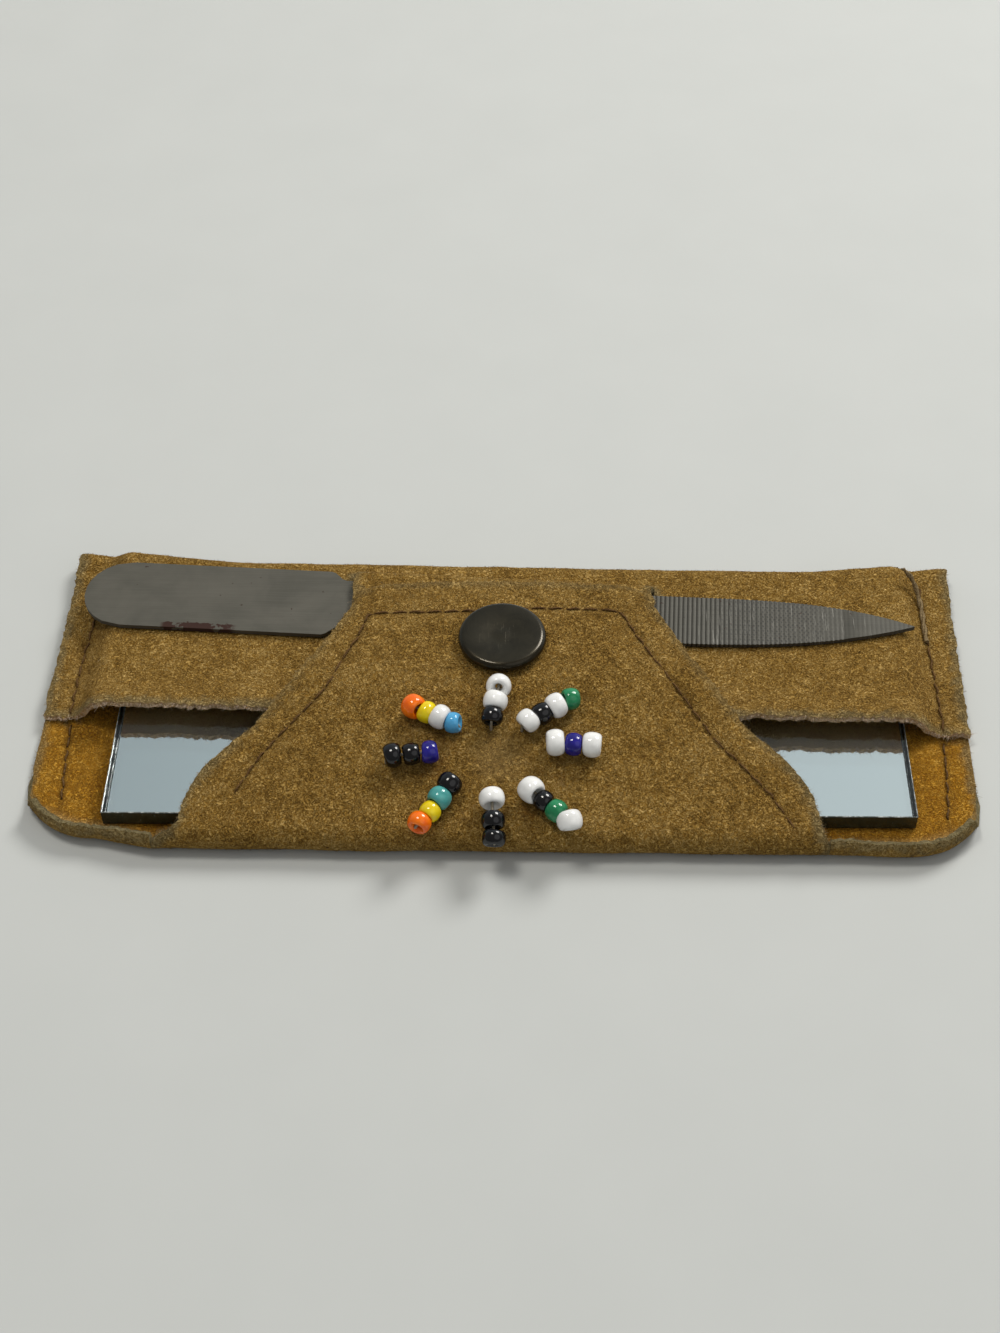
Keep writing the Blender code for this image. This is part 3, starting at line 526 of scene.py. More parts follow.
def case_section(x):
    """Mid-layer points from the split line, up the back, round the top fold and down the strip."""
    from_side = CASE_WIDTH / 2 - abs(x)
    top = mix(TOP_CORNER_Y, TOP_FOLD_Y, 0.45 * over_mirror(x) + 0.55 * ease(from_side / TOP_SLOPE_REACH))
    low = split_y(x)
    points = []
    for i in range(BACK_STEPS + 1):
        y = mix(low, top, i / BACK_STEPS)
        points.append(Vector((x, y, HALF_LEATHER + corner_lift(x, y))))
    back = HALF_LEATHER + corner_lift(x, top)
    front = strip_height(x, top)
    radius = (front - back) / 2
    for i in range(1, FOLD_STEPS + 1):
        turn = math.pi * i / FOLD_STEPS
        points.append(Vector((x, top + radius * math.sin(turn), back + radius * (1 - math.cos(turn)))))
    slit_low, slit_high = slit_ends(min(max(x, SLIT_LEFT), SLIT_RIGHT))
    for start, end, steps in ((top, slit_high, ABOVE_SLIT_STEPS), (slit_high, slit_low, SLIT_STEPS),
                              (slit_low, strip_edge(x), BELOW_SLIT_STEPS)):
        for i in range(1, steps + 1):
            y = mix(start, end, i / steps)
            points.append(Vector((x, y, strip_height(x, y))))
    return points


# Seams

def tree_of(points):
    """Points kept so that the nearest one to a place is found quickly."""
    tree = kdtree.KDTree(len(points))
    for number, point in enumerate(points):
        tree.insert(point, number)
    tree.balance()
    return tree


SEAM_BENDS = {-1: (-0.0701, -0.0706, -0.0712, -0.0716, -0.0717, -0.0712, -0.0709),
              1: (0.0707, 0.0712, 0.0717, 0.0719, 0.0716, 0.0712, 0.0711)}


def seam_samples(points, spacing=0.0002):
    """Even samples along a line of points."""
    line = Line([Vector(point) for point in points])
    count = int(line.length / spacing)
    return [line.at(line.length * i / count)[0] for i in range(count + 1)]


def side_seam(side):
    """Mid-layer points of a side seam, on the strip and on the back below it."""
    bends = ((-0.0240, -0.0188, -0.0120, STRIP_EDGE_Y, 0.0040, 0.0160, 0.0275), SEAM_BENDS[side])

    def place(y):
        return float(np.interp(y, *bends)) + 0.00010 * math.sin(y * 1900)

    on_strip, on_back = np.linspace(0.0272, STRIP_EDGE_Y, 60), np.linspace(STRIP_EDGE_Y - 0.0006, -0.0238, 30)
    strip = [Vector((place(y), y, strip_height(place(y), y))) for y in on_strip]
    back = [Vector((place(y), y, HALF_LEATHER)) for y in on_back]
    return strip, back


LEFT_STRIP_SEAM, LEFT_BACK_SEAM = side_seam(-1)
RIGHT_STRIP_SEAM, RIGHT_BACK_SEAM = side_seam(1)
FLAP_SEAM_LINE = [flap_height_point(x, y, 0) for x, y in FLAP_SEAM]
NEEDLE_HOLES = [(-0.0709, 0.0271, strip_height(-0.0709, 0.0271))]
for node in sorted(frame["nodes"]):
    if node.startswith("bead_thread"):
        ends = [vert.co for vert in frame["nodes"][node].data.vertices]
        across = max(((a - b).length, a, b) for a in ends[::4] for b in ends[::4])
        NEEDLE_HOLES += [tuple(across[1]), tuple(across[2])]
SEAMS = {"left_strip": LEFT_STRIP_SEAM, "left_back": LEFT_BACK_SEAM, "right_strip": RIGHT_STRIP_SEAM,
         "right_back": RIGHT_BACK_SEAM, "flap": FLAP_SEAM_LINE}
seam_points = [point for line in SEAMS.values() for point in seam_samples(line)]
seam_points += [Vector(hole) for hole in NEEDLE_HOLES]
seam_tree = tree_of(seam_points)


def groove(point):
    """How far a seam pulls the suede down at a place."""
    away = seam_tree.find(point)[2]
    return 0.00022 * math.exp(-((away / 0.00055) ** 2)) + 0.00018 * math.exp(-((away / 0.0018) ** 2))


def seam_shade_at(point):
    """How dark the suede is painted at a seam or a needle hole: painted shade in the seam's groove and in the hole."""
    hole = min((point - Vector(place)).length for place in NEEDLE_HOLES)
    line = math.exp(-((seam_tree.find(point)[2] / 0.00065) ** 2))
    return min(0.45 * line + 0.85 * math.exp(-((hole / 0.0006) ** 2)), 1.0)


# Suede pieces

def put_in_scene(name, data):
    made = bpy.data.objects.new(name, data)
    bpy.context.scene.collection.objects.link(made)
    return made


def object_from(name, bm, slots):
    mesh = bpy.data.meshes.new(name)
    bm.to_mesh(mesh)
    bm.free()
    for finish in slots:
        mesh.materials.append(finish)
    return put_in_scene(name, mesh)


def waver(point):
    """Soft unevenness of hand-cut suede."""
    slow = noise.noise(point * 90 + Vector((3.1, 7.7, 1.3)))
    quick = noise.noise(point * 330)
    return 0.00016 * slow + 0.00007 * quick


def on_strip_edge(point):
    return -0.0085 < point.y < -0.0044 and point.z > 0.0015


def give_faces(name, middle, joins, slots):
    """Two faces and cut edges about a mid layer. joins are the vertices that are no cut edge."""
    middle.verts.index_update()
    middle.normal_update()
    border = [edge for edge in middle.edges if edge.is_boundary]
    cut_edges = [edge for edge in border if not joins.issuperset(edge.verts)]
    cut = {vert for edge in cut_edges for vert in edge.verts}
    cut_tree = tree_of([vert.co for vert in cut])
    join_tree = tree_of([vert.co for vert in joins])
    sheet = bmesh.new()
    from_edge, inner, seam = (sheet.verts.layers.float.new(name) for name in ("from_edge", "inner", "seam"))
    shells = []
    for side in (1, -1):
        shell = []
        for vert in middle.verts:
            away = cut_tree.find(vert.co)[2]
            joined = ease(join_tree.find(vert.co)[2] / 0.002)
            half = HALF_LEATHER * mix(0.90, 1.0, ease(away / 0.0008))
            lift = waver(vert.co) * joined
            made = sheet.verts.new(vert.co + vert.normal * (lift + side * (half - groove(vert.co))))
            if vert in cut:
                ragged = noise.noise(vert.co * 1300) * 0.00034 + noise.noise(vert.co * 420) * 0.00022
                ragged *= 1.8 if on_strip_edge(vert.co) else 1.0
                outward = sum((vert.co - face.calc_center_median() for face in vert.link_faces), Vector())
                made.co += outward.normalized() * ragged
            made[from_edge] = away * 1000
            made[seam] = seam_shade_at(vert.co)
            made[inner] = 1.0 if side < 0 else 0.0
            shell.append(made)
        shells.append(shell)
    front, back = shells
    for face in middle.faces:
        corners = [vert.index for vert in face.verts]
        sheet.faces.new([front[i] for i in corners]).smooth = True
        sheet.faces.new([back[i] for i in reversed(corners)]).smooth = True
    for edge in border:
        loop = edge.link_loops[0]
        a, b = loop.vert.index, loop.link_loop_next.vert.index
        rim = sheet.faces.new((front[b], front[a], back[a], back[b]))
        rim.material_index = 1
        rim.smooth = True
    for edge in sheet.edges:
        faces = edge.link_faces
        if len(faces) == 2 and faces[0].material_index != faces[1].material_index:
            edge.smooth = False
    middle.free()
    return object_from(name, sheet, slots)


def grid_of(bm, rows, open_face=None):
    grid = [[bm.verts.new(point) for point in row] for row in rows]
    for r in range(len(rows) - 1):
        for c in range(len(rows[0]) - 1):
            if not (open_face and open_face(r, c)):
                bm.faces.new((grid[r][c], grid[r][c + 1], grid[r + 1][c + 1], grid[r + 1][c]))
    return grid


def build_case(slots):
    """The back with its curled lips beside the flap, the top fold and the pocket strip with its two slits."""
    middle = bmesh.new()
    sections = [case_section(x) for x in COLUMNS]
    rows = [[section[r] for section in sections] for r in range(len(sections[0]))]
    slits = [COLUMNS.index(SLIT_LEFT - HALF_SLIT), COLUMNS.index(SLIT_RIGHT - HALF_SLIT)]
    grid = grid_of(middle, rows, lambda r, c: c in slits and SLIT_START <= r < SLIT_START + SLIT_STEPS)
    bmesh.ops.reverse_faces(middle, faces=middle.faces)
    joins = set(grid[0][FIRST:LAST + 1])
    for columns, joined in ((range(FIRST + 1), FIRST), (range(LAST, len(COLUMNS)), LAST)):
        margins = {c: lower_margin(COLUMNS[c], LIP_SWEEP_AT_ROOT) for c in columns}
        above = {c: grid[0][c] for c in columns}
        for r in range(1, len(margins[joined])):
            row = {c: middle.verts.new(margins[c][r]) for c in columns}
            for c in list(columns)[:-1]:
                middle.faces.new((above[c], above[c + 1], row[c + 1], row[c]))
            joins.add(row[joined])
            above = row
    return give_faces("pouch_suede", middle, joins, slots)


def build_flap(slots):
    """The back's lower margin at the flap's root, the fold and the flap."""
    middle = bmesh.new()
    sections = [lower_margin(x) for x in COLUMNS[FIRST:LAST + 1]]
    rows = [[section[r] for section in sections] for r in range(len(sections[0]))]
    grid = grid_of(middle, rows)
    crease = grid[-1]
    joins = set(grid[0]) | {row[end] for row in grid for end in (0, -1)}
    shares = []
    for x in COLUMNS[FIRST:LAST + 1]:
        unshifted = x - ROOT_SHIFT - FLAP_CENTRE_X
        shares.append(unshifted / flap_half_width(0, -1 if unshifted < 0 else 1))
    length = FLAP_LINE.length - FLAP_CROWN
    crown_start = FLAP_LINE.length / 2
    past_fold = TOP_OF_FOLD * 1.6
    distances = stations([0, past_fold], 0.00035)[1:] + stations([past_fold, length], COLUMN_SPACING)[1:]
    below = crease
    for distance in distances:
        row = []
        crown = FLAP_CROWN * ease((distance - crown_start) / crown_start)
        for u in shares:
            half = flap_half_width(distance, -1 if u < 0 else 1)
            corner = FLAP_CORNER * ease((distance - length + FLAP_CORNER) / FLAP_CORNER) ** 2
            x = FLAP_CENTRE_X + u * (half - corner)
            point = flap_point(x, distance + crown * (1 - u * u), 0)
            point.z -= flap_droop(u, half, distance)
            row.append(middle.verts.new(point))
        for c in range(len(row) - 1):
            middle.faces.new((below[c], below[c + 1], row[c + 1], row[c]))
        below = row
    return give_faces("flap_suede", middle, joins, slots)


# Materials

STAR_CENTRE = (-0.0003, -0.0176, 0.0105)


def sign(operation, swapped=False):
    """One of Python's signs, made a Math node."""
    def work(self, other):
        pair = (other, self) if swapped else (self, other)
        return self.nodes.node("ShaderNodeMath", {"operation": operation}, pair)
    return work


class Shade:
    """A value in a material that Python's own sums work on."""

    def __init__(self, nodes, socket):
        self.nodes = nodes
        self.socket = socket

    __add__ = sign("ADD")
    __radd__ = sign("ADD", swapped=True)
    __sub__ = sign("SUBTRACT")
    __rsub__ = sign("SUBTRACT", swapped=True)
    __mul__ = sign("MULTIPLY")
    __rmul__ = sign("MULTIPLY", swapped=True)
    least = sign("MINIMUM")
    most = sign("MAXIMUM")

    def __abs__(self):
        return self.nodes.node("ShaderNodeMath", {"operation": "ABSOLUTE"}, [self])

    def sine(self):
        return self.nodes.node("ShaderNodeMath", {"operation": "SINE"}, [self])

    def rise(self, low, high):
        """0 below low, 1 above high and smooth between."""
        settings = {"interpolation_type": "SMOOTHSTEP"}
        return self.nodes.node("ShaderNodeMapRange", settings, {0: self, 1: low, 2: high})

    def fall(self, low, high):
        """1 below low, 0 above high and smooth between."""
        return 1 - self.rise(low, high)

    def axis(self, index):
        return self.nodes.node("ShaderNodeSeparateXYZ", None, [self], index)

    def distance(self, place):
        return self.nodes.node("ShaderNodeVectorMath", {"operation": "DISTANCE"}, [self, place], "Value")


class Nodes:
    """A node tree in the making."""

    def __init__(self, tree):
        self.tree = tree

    def node(self, kind, settings=None, inputs=(), output=0):
        made = self.tree.nodes.new(kind)
        for key, value in (settings or {}).items():
            if key == "stops":
                self.set_stops(made.color_ramp.elements, value)
            else:
                setattr(made, key, value)
        pairs = inputs.items() if isinstance(inputs, dict) else enumerate(inputs)
        for key, value in pairs:
            self.feed(made.inputs[key], value)
        return Shade(self, made.outputs[output])

    def set_stops(self, stops, values):
        while len(stops) < len(values):
            stops.new(0.5)
        for stop, (position, colour) in zip(stops, values):
            stop.position = position
            stop.color = (*colour, 1)

    def feed(self, socket, value):
        if isinstance(value, Shade):
            self.tree.links.new(value.socket, socket)
        elif isinstance(value, tuple) and len(value) == 3 and socket.type == "RGBA":
            socket.default_value = (*value, 1)
        else:
            socket.default_value = value

    def blend(self, share, first, second):
        return self.node("ShaderNodeMix", {"data_type": "RGBA"}, {0: share, 6: first, 7: second}, 2)


class Finish(Nodes):
    """A material in the making."""

    def __init__(self, name, **uniform):
        self.material = bpy.data.materials.new(name)
        self.material.use_nodes = True
        super().__init__(self.material.node_tree)
        self.shader = self.tree.nodes["Principled BSDF"]
        self.wear(**uniform)
        self.place = self.node("ShaderNodeTexCoord", output="Object")

    def noise(self, size, detail=3.0, roughness=0.55, distortion=0.0, place=None):
        return self.node("ShaderNodeTexNoise", None,
                         {"Vector": place or self.place, "Scale": 1 / size, "Detail": detail,
                          "Roughness": roughness, "Distortion": distortion})

    def mapped(self, place=None, **values):
        inputs = {"Vector": place or self.place, **values}
        return self.node("ShaderNodeMapping", {"vector_type": "POINT"}, inputs)

    def grain(self, size, detail, roughness, turn=0.0):
        """Noise drawn out by three sizes and turned about Z, for grain that runs one way."""
        place = self.mapped(Rotation=(0, 0, turn), Scale=tuple(1 / length for length in size))
        return self.noise(1.0, detail, roughness, place=place)

    def attribute(self, name):
        return self.node("ShaderNodeAttribute", {"attribute_name": name}, output="Fac")

    def bump(self, height, distance, strength=1.0):
        inputs = {"Height": height, "Distance": distance, "Strength": strength}
        return self.node("ShaderNodeBump", None, inputs)

    def wear(self, **values):
        for socket, value in values.items():
            self.feed(self.shader.inputs[socket.replace("_", " ")], value)
        return self.material


SUEDE_TONES = ((0.10, (0.080, 0.037, 0.004)), (0.36, (0.262, 0.138, 0.020)),
               (0.60, (0.440, 0.258, 0.054)), (0.90, (0.660, 0.450, 0.165)))
INNER_TONES = ((0.10, (0.200, 0.072, 0.002)), (0.36, (0.380, 0.165, 0.006)),
               (0.60, (0.540, 0.255, 0.016)), (0.90, (0.720, 0.410, 0.070)))


def suede_finish(name, kind="face"):
    """Napped suede: short fibres in mottled directions, greyed at the cut edges, oranger inside."""
    suede = Finish(name, Sheen_Weight=0.08, Sheen_Roughness=0.5, Specular_IOR_Level=0.10,
                   Sheen_Tint=(0.80, 0.60, 0.30))
    patches = suede.noise(0.011, 4, 0.6).rise(0.30, 0.70)
    blotches = suede.noise(0.0030, 3, 0.6, 0.8).rise(0.32, 0.68)
    flecks = suede.noise(0.00075, 3, 0.6, 2.6).rise(0.36, 0.64)
    fine = suede.noise(0.00040, 2, 0.6, 1.4).rise(0.30, 0.70)
    tone = patches * 0.12 + blotches * 0.14
    if kind == "nap":
        tone = tone + flecks * 0.22 + suede.attribute("shade") * 0.52
    else:
        tone = tone + flecks * 0.46 + fine * 0.28
    y, z = suede.place.axis(1), suede.place.axis(2)
    from_edge, inside = suede.attribute("from_edge"), suede.attribute("inner")
    outer = suede.node("ShaderNodeValToRGB", {"stops": SUEDE_TONES}, [tone])
    inner = suede.node("ShaderNodeValToRGB", {"stops": INNER_TONES}, [tone])
    colour = suede.blend(inside, outer, inner)

    # Painted light: paler inside the curled lips, which lie in shade, and under the strip's rim, in place of light
    # thrown up by the mirror; greyer along the cut edges
    # Painted light inside the curled lips: a paler tan laid over the inner suede where the lips lie in shade
    lip = y.fall(-0.0264, -0.0225) * from_edge.fall(2.6, 5.2) * inside
    lip_light_colour = suede.blend(flecks, (0.520, 0.360, 0.150), (0.800, 0.620, 0.330))
    colour = suede.blend(lip * 0.92, colour, lip_light_colour)
    # Painted light under the strip's rim, in place of the light that the mirror throws up onto its underside
    under = y.rise(-0.0100, -0.0080) * y.fall(-0.0015, 0.0005) * from_edge.fall(2.5, 6.5)
    under = under * inside * z.rise(0.0022, 0.0032) * z.fall(0.0078, 0.0088)
    colour = suede.blend(under * 0.9, colour, (0.820, 0.560, 0.280))
    raised = z.rise(0.0075, 0.0095)
    edge = (from_edge + blotches * 1.2 - 0.6).fall(0.2, 2.2) * (1 - raised * 0.45) * (1 - under)
    grey = suede.blend(flecks, (0.130, 0.106, 0.044), (0.360, 0.305, 0.165))
    colour = suede.blend(edge * 0.62, colour, grey)

    # Stained round the star of beads, rubbed at its middle, with painted shade in the seams' grooves and needle holes
    from_star = suede.place.distance(STAR_CENTRE)
    stain = (1 - abs(from_star - 0.0095).rise(0.0005, 0.0045)) * suede.noise(0.0035, 3, 0.6).rise(0.45, 0.68)
    colour = suede.blend(stain * 0.32, colour, (0.200, 0.068, 0.010))
    colour = suede.blend(from_star.fall(0.0020, 0.0065) * 0.22, colour, (0.480, 0.350, 0.160))
    # Painted shade along the seams and in the needle holes
    colour = suede.blend(suede.attribute("seam") * 0.85, colour, (0.040, 0.020, 0.006))
    if kind == "cut":
        band = suede.noise(0.0008, 3, 0.7).rise(0.3, 0.7)
        olive = suede.blend(band, (0.130, 0.105, 0.045), (0.350, 0.290, 0.150))
        # Painted shade on high cut edges such as the flap's tip: browner, so that they don't show the light they catch
        olive = suede.blend(raised * 0.6, olive, (0.270, 0.160, 0.040))
        # The strip's rim: its own pinkish colour, made paler and warmer as painted light because the rim lies in shade
        rosy_and_lit = suede.blend(band, (0.560, 0.340, 0.150), (0.980, 0.730, 0.420))
        colour = suede.blend(y.rise(-0.0085, -0.0078) * y.fall(-0.0050, -0.0044), olive, rosy_and_lit)
    height = flecks * 0.55 + fine * 0.25 + blotches * 0.20
    return suede.wear(Base_Color=colour, Roughness=0.84 + flecks * 0.14, Normal=suede.bump(height, 0.0006))


def thread_finish(name, dark, light, rough=0.7):
    thread = Finish(name, Specular_IOR_Level=0.1)
    twist = thread.noise(0.00022, 2, 0.5, place=thread.mapped(Rotation=(0, 0, 0.6)))
    return thread.wear(Base_Color=thread.blend(twist.rise(0.35, 0.65), dark, light),
                       Roughness=rough + twist * 0.1, Normal=thread.bump(twist, 0.0001, 0.8))


def nylon_finish():
    nylon = Finish("bead_thread_nylon", Specular_IOR_Level=0.5, IOR=1.5)
    cloud = nylon.noise(0.0006, 2)
    return nylon.wear(Base_Color=nylon.blend(cloud, (0.20, 0.17, 0.12), (0.40, 0.36, 0.28)),
                      Roughness=0.28 + cloud * 0.2)


def glass_finish(colour_name, light, dark):
    """Opaque glossy glass, a little uneven in colour and gloss."""
    glass = Finish("glass_" + colour_name, Specular_IOR_Level=0.5, IOR=1.52)
    streak = glass.noise(0.0022, 3, 0.5, 0.5).rise(0.3, 0.7)
    dust = glass.noise(0.0006, 3, 0.6).rise(0.60, 0.80)
    return glass.wear(Base_Color=glass.blend(streak, dark, light), Roughness=0.11 + dust * 0.04)


def cap_finish():
    """Blackened metal, rubbed and finely scratched at the middle."""
    cap = Finish("snap_cap_gunmetal", Metallic=0.70, Specular_IOR_Level=0.4, Coat_Roughness=0.12,
                 Coat_Weight=0.25)
    smear = cap.noise(0.0045, 3, 0.6, 0.8)
    scratches = cap.grain((0.00009, 0.0040, 0.002), 3, 0.6, 0.3).rise(0.60, 0.78)
    from_middle = cap.place.distance((SNAP_X, SNAP_Y, CAP_BOTTOM))
    worn = scratches * (from_middle.fall(0.0022, 0.0050) * 0.6 + 0.15)
    colour = cap.blend(smear.rise(0.3, 0.75), (0.019, 0.015, 0.007), (0.031, 0.025, 0.013))
    colour = cap.blend(worn, colour, (0.090, 0.078, 0.052))
    return cap.wear(Base_Color=colour, Roughness=0.24 + smear * 0.08 + worn * 0.2,
                    Normal=cap.bump(worn, 0.00002, 0.5))


def brass_finish():
    brass = Finish("snap_brass", Metallic=1.0)
    tarnish = brass.noise(0.0016, 4, 0.65)
    pits = brass.noise(0.0003, 3)
    colour = brass.blend(tarnish.rise(0.40, 0.66), (0.48, 0.35, 0.15), (0.20, 0.15, 0.08))
    return brass.wear(Base_Color=colour, Roughness=0.26 + tarnish * 0.22,
                      Normal=brass.bump(pits, 0.00003, 0.4))


def steel_finish():
    """Dull ground steel with a rusty lower edge, with painted shade in the teeth's grooves and painted highlights on
    their crests.
    """
    steel = Finish("nail_file_steel", Specular_IOR_Level=0.35)
    start = Matrix.Rotation(-FILE_TURN, 2) @ FILE_START
    on_file = steel.mapped(Rotation=(0, 0, -FILE_TURN), Location=(-start.x, -start.y, 0))
    along, across = on_file.axis(0), on_file.axis(1)
    brushed = steel.grain((0.012, 0.00022, 0.01), 3, 0.6, -FILE_TURN).rise(0.3, 0.7)
    smudge = steel.noise(0.008, 4, 0.6, 0.4).rise(0.3, 0.7)

    # Cross-cut teeth, worn towards the point
    teeth = along.rise(FIRST_TOOTH - 0.0004, FIRST_TOOTH)
    teeth = teeth * (1 - along.rise(LAST_TOOTH - 0.026, LAST_TOOTH - 0.004) * 0.8)
    wave = ((along - FIRST_TOOTH) * (math.tau / TOOTH_PITCH) - 0.6).sine()
    # Painted highlights on the teeth's crests and painted shade in their grooves
    crest_and_highlight = (wave * 0.5 + 0.5).rise(0.25, 0.95) * teeth
    groove_and_shade = (0.5 - wave * 0.5).rise(0.45, 1.0) * teeth

    # Knurl, scratches, rust and freckles
    lattice = []
    for turn in (0.62, -0.62):
        crest = steel.mapped(on_file, Rotation=(0, 0, turn)).axis(0) * (math.tau / 0.00062)
        lattice.append(crest.sine() * 0.5 + 0.5)
    knurl = (lattice[0] * lattice[1]).rise(0.25, 0.55) * along.rise(0.104, 0.114) * along.fall(0.122, 0.131)
    knurl = knurl * steel.noise(0.0012, 3, 0.7).rise(0.30, 0.55)
    scratch = steel.grain((0.00012, 0.004, 0.01), 1, 0.5, 0.8).rise(0.66, 0.74)
    scratch = scratch * along.rise(0.100, 0.106) * along.fall(0.132, 0.136)
    low_edge = (across + steel.noise(0.0014, 3, 0.7) * 0.0016).fall(-0.00545, -0.00530)
    rust = steel.noise(0.0026, 4, 0.6).rise(0.40, 0.44) * low_edge
    rust = rust * along.rise(0.0140, 0.0150) * along.fall(0.0260, 0.0275)
    freckle = steel.noise(0.0011, 2, 0.5).rise(0.72, 0.76) * along.rise(0.004, 0.010)
    colour = steel.blend(smudge, (0.074, 0.071, 0.057), (0.097, 0.092, 0.075))
    for share, shown in ((along.rise(0.0900, 0.0960) * 0.35, (0.020, 0.020, 0.018)),
                         (brushed * 0.08, (0.22, 0.21, 0.18)), (crest_and_highlight * 0.22, (0.17, 0.166, 0.146)),
                         (groove_and_shade * 0.70, (0.016, 0.015, 0.012)), (knurl * 0.80, (0.035, 0.034, 0.032)),
                         (scratch * 0.50, (0.30, 0.29, 0.26)),
                         ((rust + freckle * 0.8).least(1.0) * 0.97, (0.030, 0.010, 0.006))):
        colour = steel.blend(share, colour, shown)
    return steel.wear(Base_Color=colour, Metallic=0.45 - rust * 0.45,
                      Roughness=0.52 + smudge * 0.08 + rust * 0.35 + groove_and_shade * 0.2,
                      Normal=steel.bump(brushed * 0.2 + crest_and_highlight * 0.5 - knurl * 0.4, 0.00006, 0.7))


def border_of(finish, chips):
    """How near a place on the mirror is to its border, from 1 at the edge to 0 inside."""
    turned = finish.mapped(Rotation=(0, 0, -MIRROR_TURN))
    centre = Matrix.Rotation(-MIRROR_TURN, 2) @ Vector(MIRROR_CENTRE)
    across = MIRROR_WIDTH / 2 - abs(turned.axis(0) - centre.x)
    up = MIRROR_HEIGHT / 2 - abs(turned.axis(1) - centre.y)
    return (across.least(up) + chips * 0.0008 - 0.0004).fall(0.00020, 0.00048)


def silver_finish():
    """Silvering behind the glass, dark where it has worn off along the border."""
    silver = Finish("mirror_silver", Specular_IOR_Level=0.6)
    border = border_of(silver, silver.noise(0.0013, 4, 0.7))
    dust = silver.noise(0.0008, 4, 0.7).rise(0.62, 0.75)
    colour = silver.blend(border, (0.86, 0.90, 0.90), (0.010, 0.014, 0.013))
    rough = 0.01 + dust * 0.02 + border * 0.2
    return silver.wear(Base_Color=colour, Metallic=1.0 - border * 0.9, Roughness=rough)


def clear_finish():
    """Clear glass, faintly smudged."""
    clear = Finish("mirror_clear_glass", IOR=1.52, Transmission_Weight=1.0)
    dust = clear.noise(0.004, 4, 0.7).rise(0.55, 0.80)
    tint = clear.blend(dust, (0.95, 0.985, 0.975), (0.93, 0.96, 0.95))
    return clear.wear(Base_Color=tint, Roughness=dust * 0.03)


def glass_edge_finish():
    edge = Finish("mirror_edge_glass", Specular_IOR_Level=0.6, IOR=1.52)
    grind = edge.noise(0.0009, 3, 0.6)
    scallops = edge.grain((0.0006, 0.01, 0.0012), 2, 0.5)
    colour = edge.blend(grind.rise(0.35, 0.7), (0.004, 0.010, 0.008), (0.020, 0.034, 0.028))
    return edge.wear(Base_Color=colour, Roughness=0.10 + grind * 0.25,
                     Normal=edge.bump(scallops, 0.0001, 0.5))


def ground_finish():
    """Pale ground arris round the mirror's face, with small chips."""
    ground = Finish("mirror_ground_arris", Specular_IOR_Level=0.5)
    chips = ground.noise(0.0007, 3, 0.7)
    colour = ground.blend(chips.rise(0.46, 0.64), (0.10, 0.12, 0.115), (0.62, 0.66, 0.65))
    return ground.wear(Base_Color=colour, Roughness=0.25 + chips * 0.3,
                       Normal=ground.bump(chips, 0.0001, 0.6))


GLASS_COLOURS = {
    "white": ((0.83, 0.84, 0.83), (0.74, 0.75, 0.74)),
    "black": ((0.005, 0.005, 0.006), (0.003, 0.003, 0.004)),
    "orange": ((0.90, 0.190, 0.006), (0.78, 0.120, 0.004)),
    "yellow": ((0.84, 0.68, 0.010), (0.72, 0.54, 0.008)),
    "green": ((0.020, 0.230, 0.095), (0.012, 0.150, 0.060)),
    "turquoise": ((0.085, 0.360, 0.340), (0.055, 0.270, 0.260)),
    "sky_blue": ((0.085, 0.370, 0.650), (0.060, 0.280, 0.520)),
    "navy": ((0.018, 0.014, 0.240), (0.010, 0.008, 0.140)),
}
GLASS = {name: glass_finish(name, light, dark) for name, (light, dark) in GLASS_COLOURS.items()}
SUEDE = suede_finish("suede_face")
CUT_EDGE = suede_finish("suede_cut_edge", "cut")
NAP = suede_finish("suede_nap_fibres", "nap")
# The stitches are darker than their thread: painted shade for the shadows and holes along the seams
STITCH = thread_finish("stitch_thread", (0.060, 0.030, 0.010), (0.150, 0.082, 0.028))
TAIL_THREAD = thread_finish("tail_thread", (0.110, 0.075, 0.035), (0.250, 0.185, 0.095))
FIBRE = thread_finish("suede_fibre", (0.210, 0.150, 0.070), (0.430, 0.340, 0.200), 0.8)
FRINGE = thread_finish("strip_fringe_fibre", (0.420, 0.310, 0.220), (0.760, 0.630, 0.500), 0.8)
NYLON = nylon_finish()
CAP_METAL = cap_finish()
BRASS = brass_finish()
STEEL = steel_finish()
SILVER = silver_finish()
CLEAR_GLASS = clear_finish()
GROUND_GLASS = ground_finish()
GLASS_EDGE = glass_edge_finish()


# Motion of the suede round the flap's crease

BEND_START = (0, -0.0290, 0.0020)
BEND_END = (0, -0.0290, 0.0058)


def ride_pouch(piece):
    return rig.ride(piece, "pouch")


def ride_flap(piece):
    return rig.ride(piece, "flap")


def bend_with_flap(piece):
    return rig.blend(piece, "pouch", "flap", start=BEND_START, end=BEND_END)


def hang(piece, follow, slot="suede"):
    """Have a piece follow its body or bodies, and name its material slot."""
    follow(piece)
    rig.slot(piece, slot)
    return piece


case = hang(build_case([SUEDE, CUT_EDGE]), ride_pouch)
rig.replaces(case, "pouch_body")
flap = hang(build_flap([SUEDE, CUT_EDGE]), bend_with_flap)
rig.replaces(flap, "flap")


# Modelling helpers

def deselect_all():
    for other in bpy.context.selected_objects:
        other.select_set(False)


def only(piece):
    deselect_all()
    piece.select_set(True)
    bpy.context.view_layer.objects.active = piece
    return piece


def apply_all(piece):
    only(piece)
    for modifier in list(piece.modifiers):
        bpy.ops.object.modifier_apply(modifier=modifier.name)
    return piece


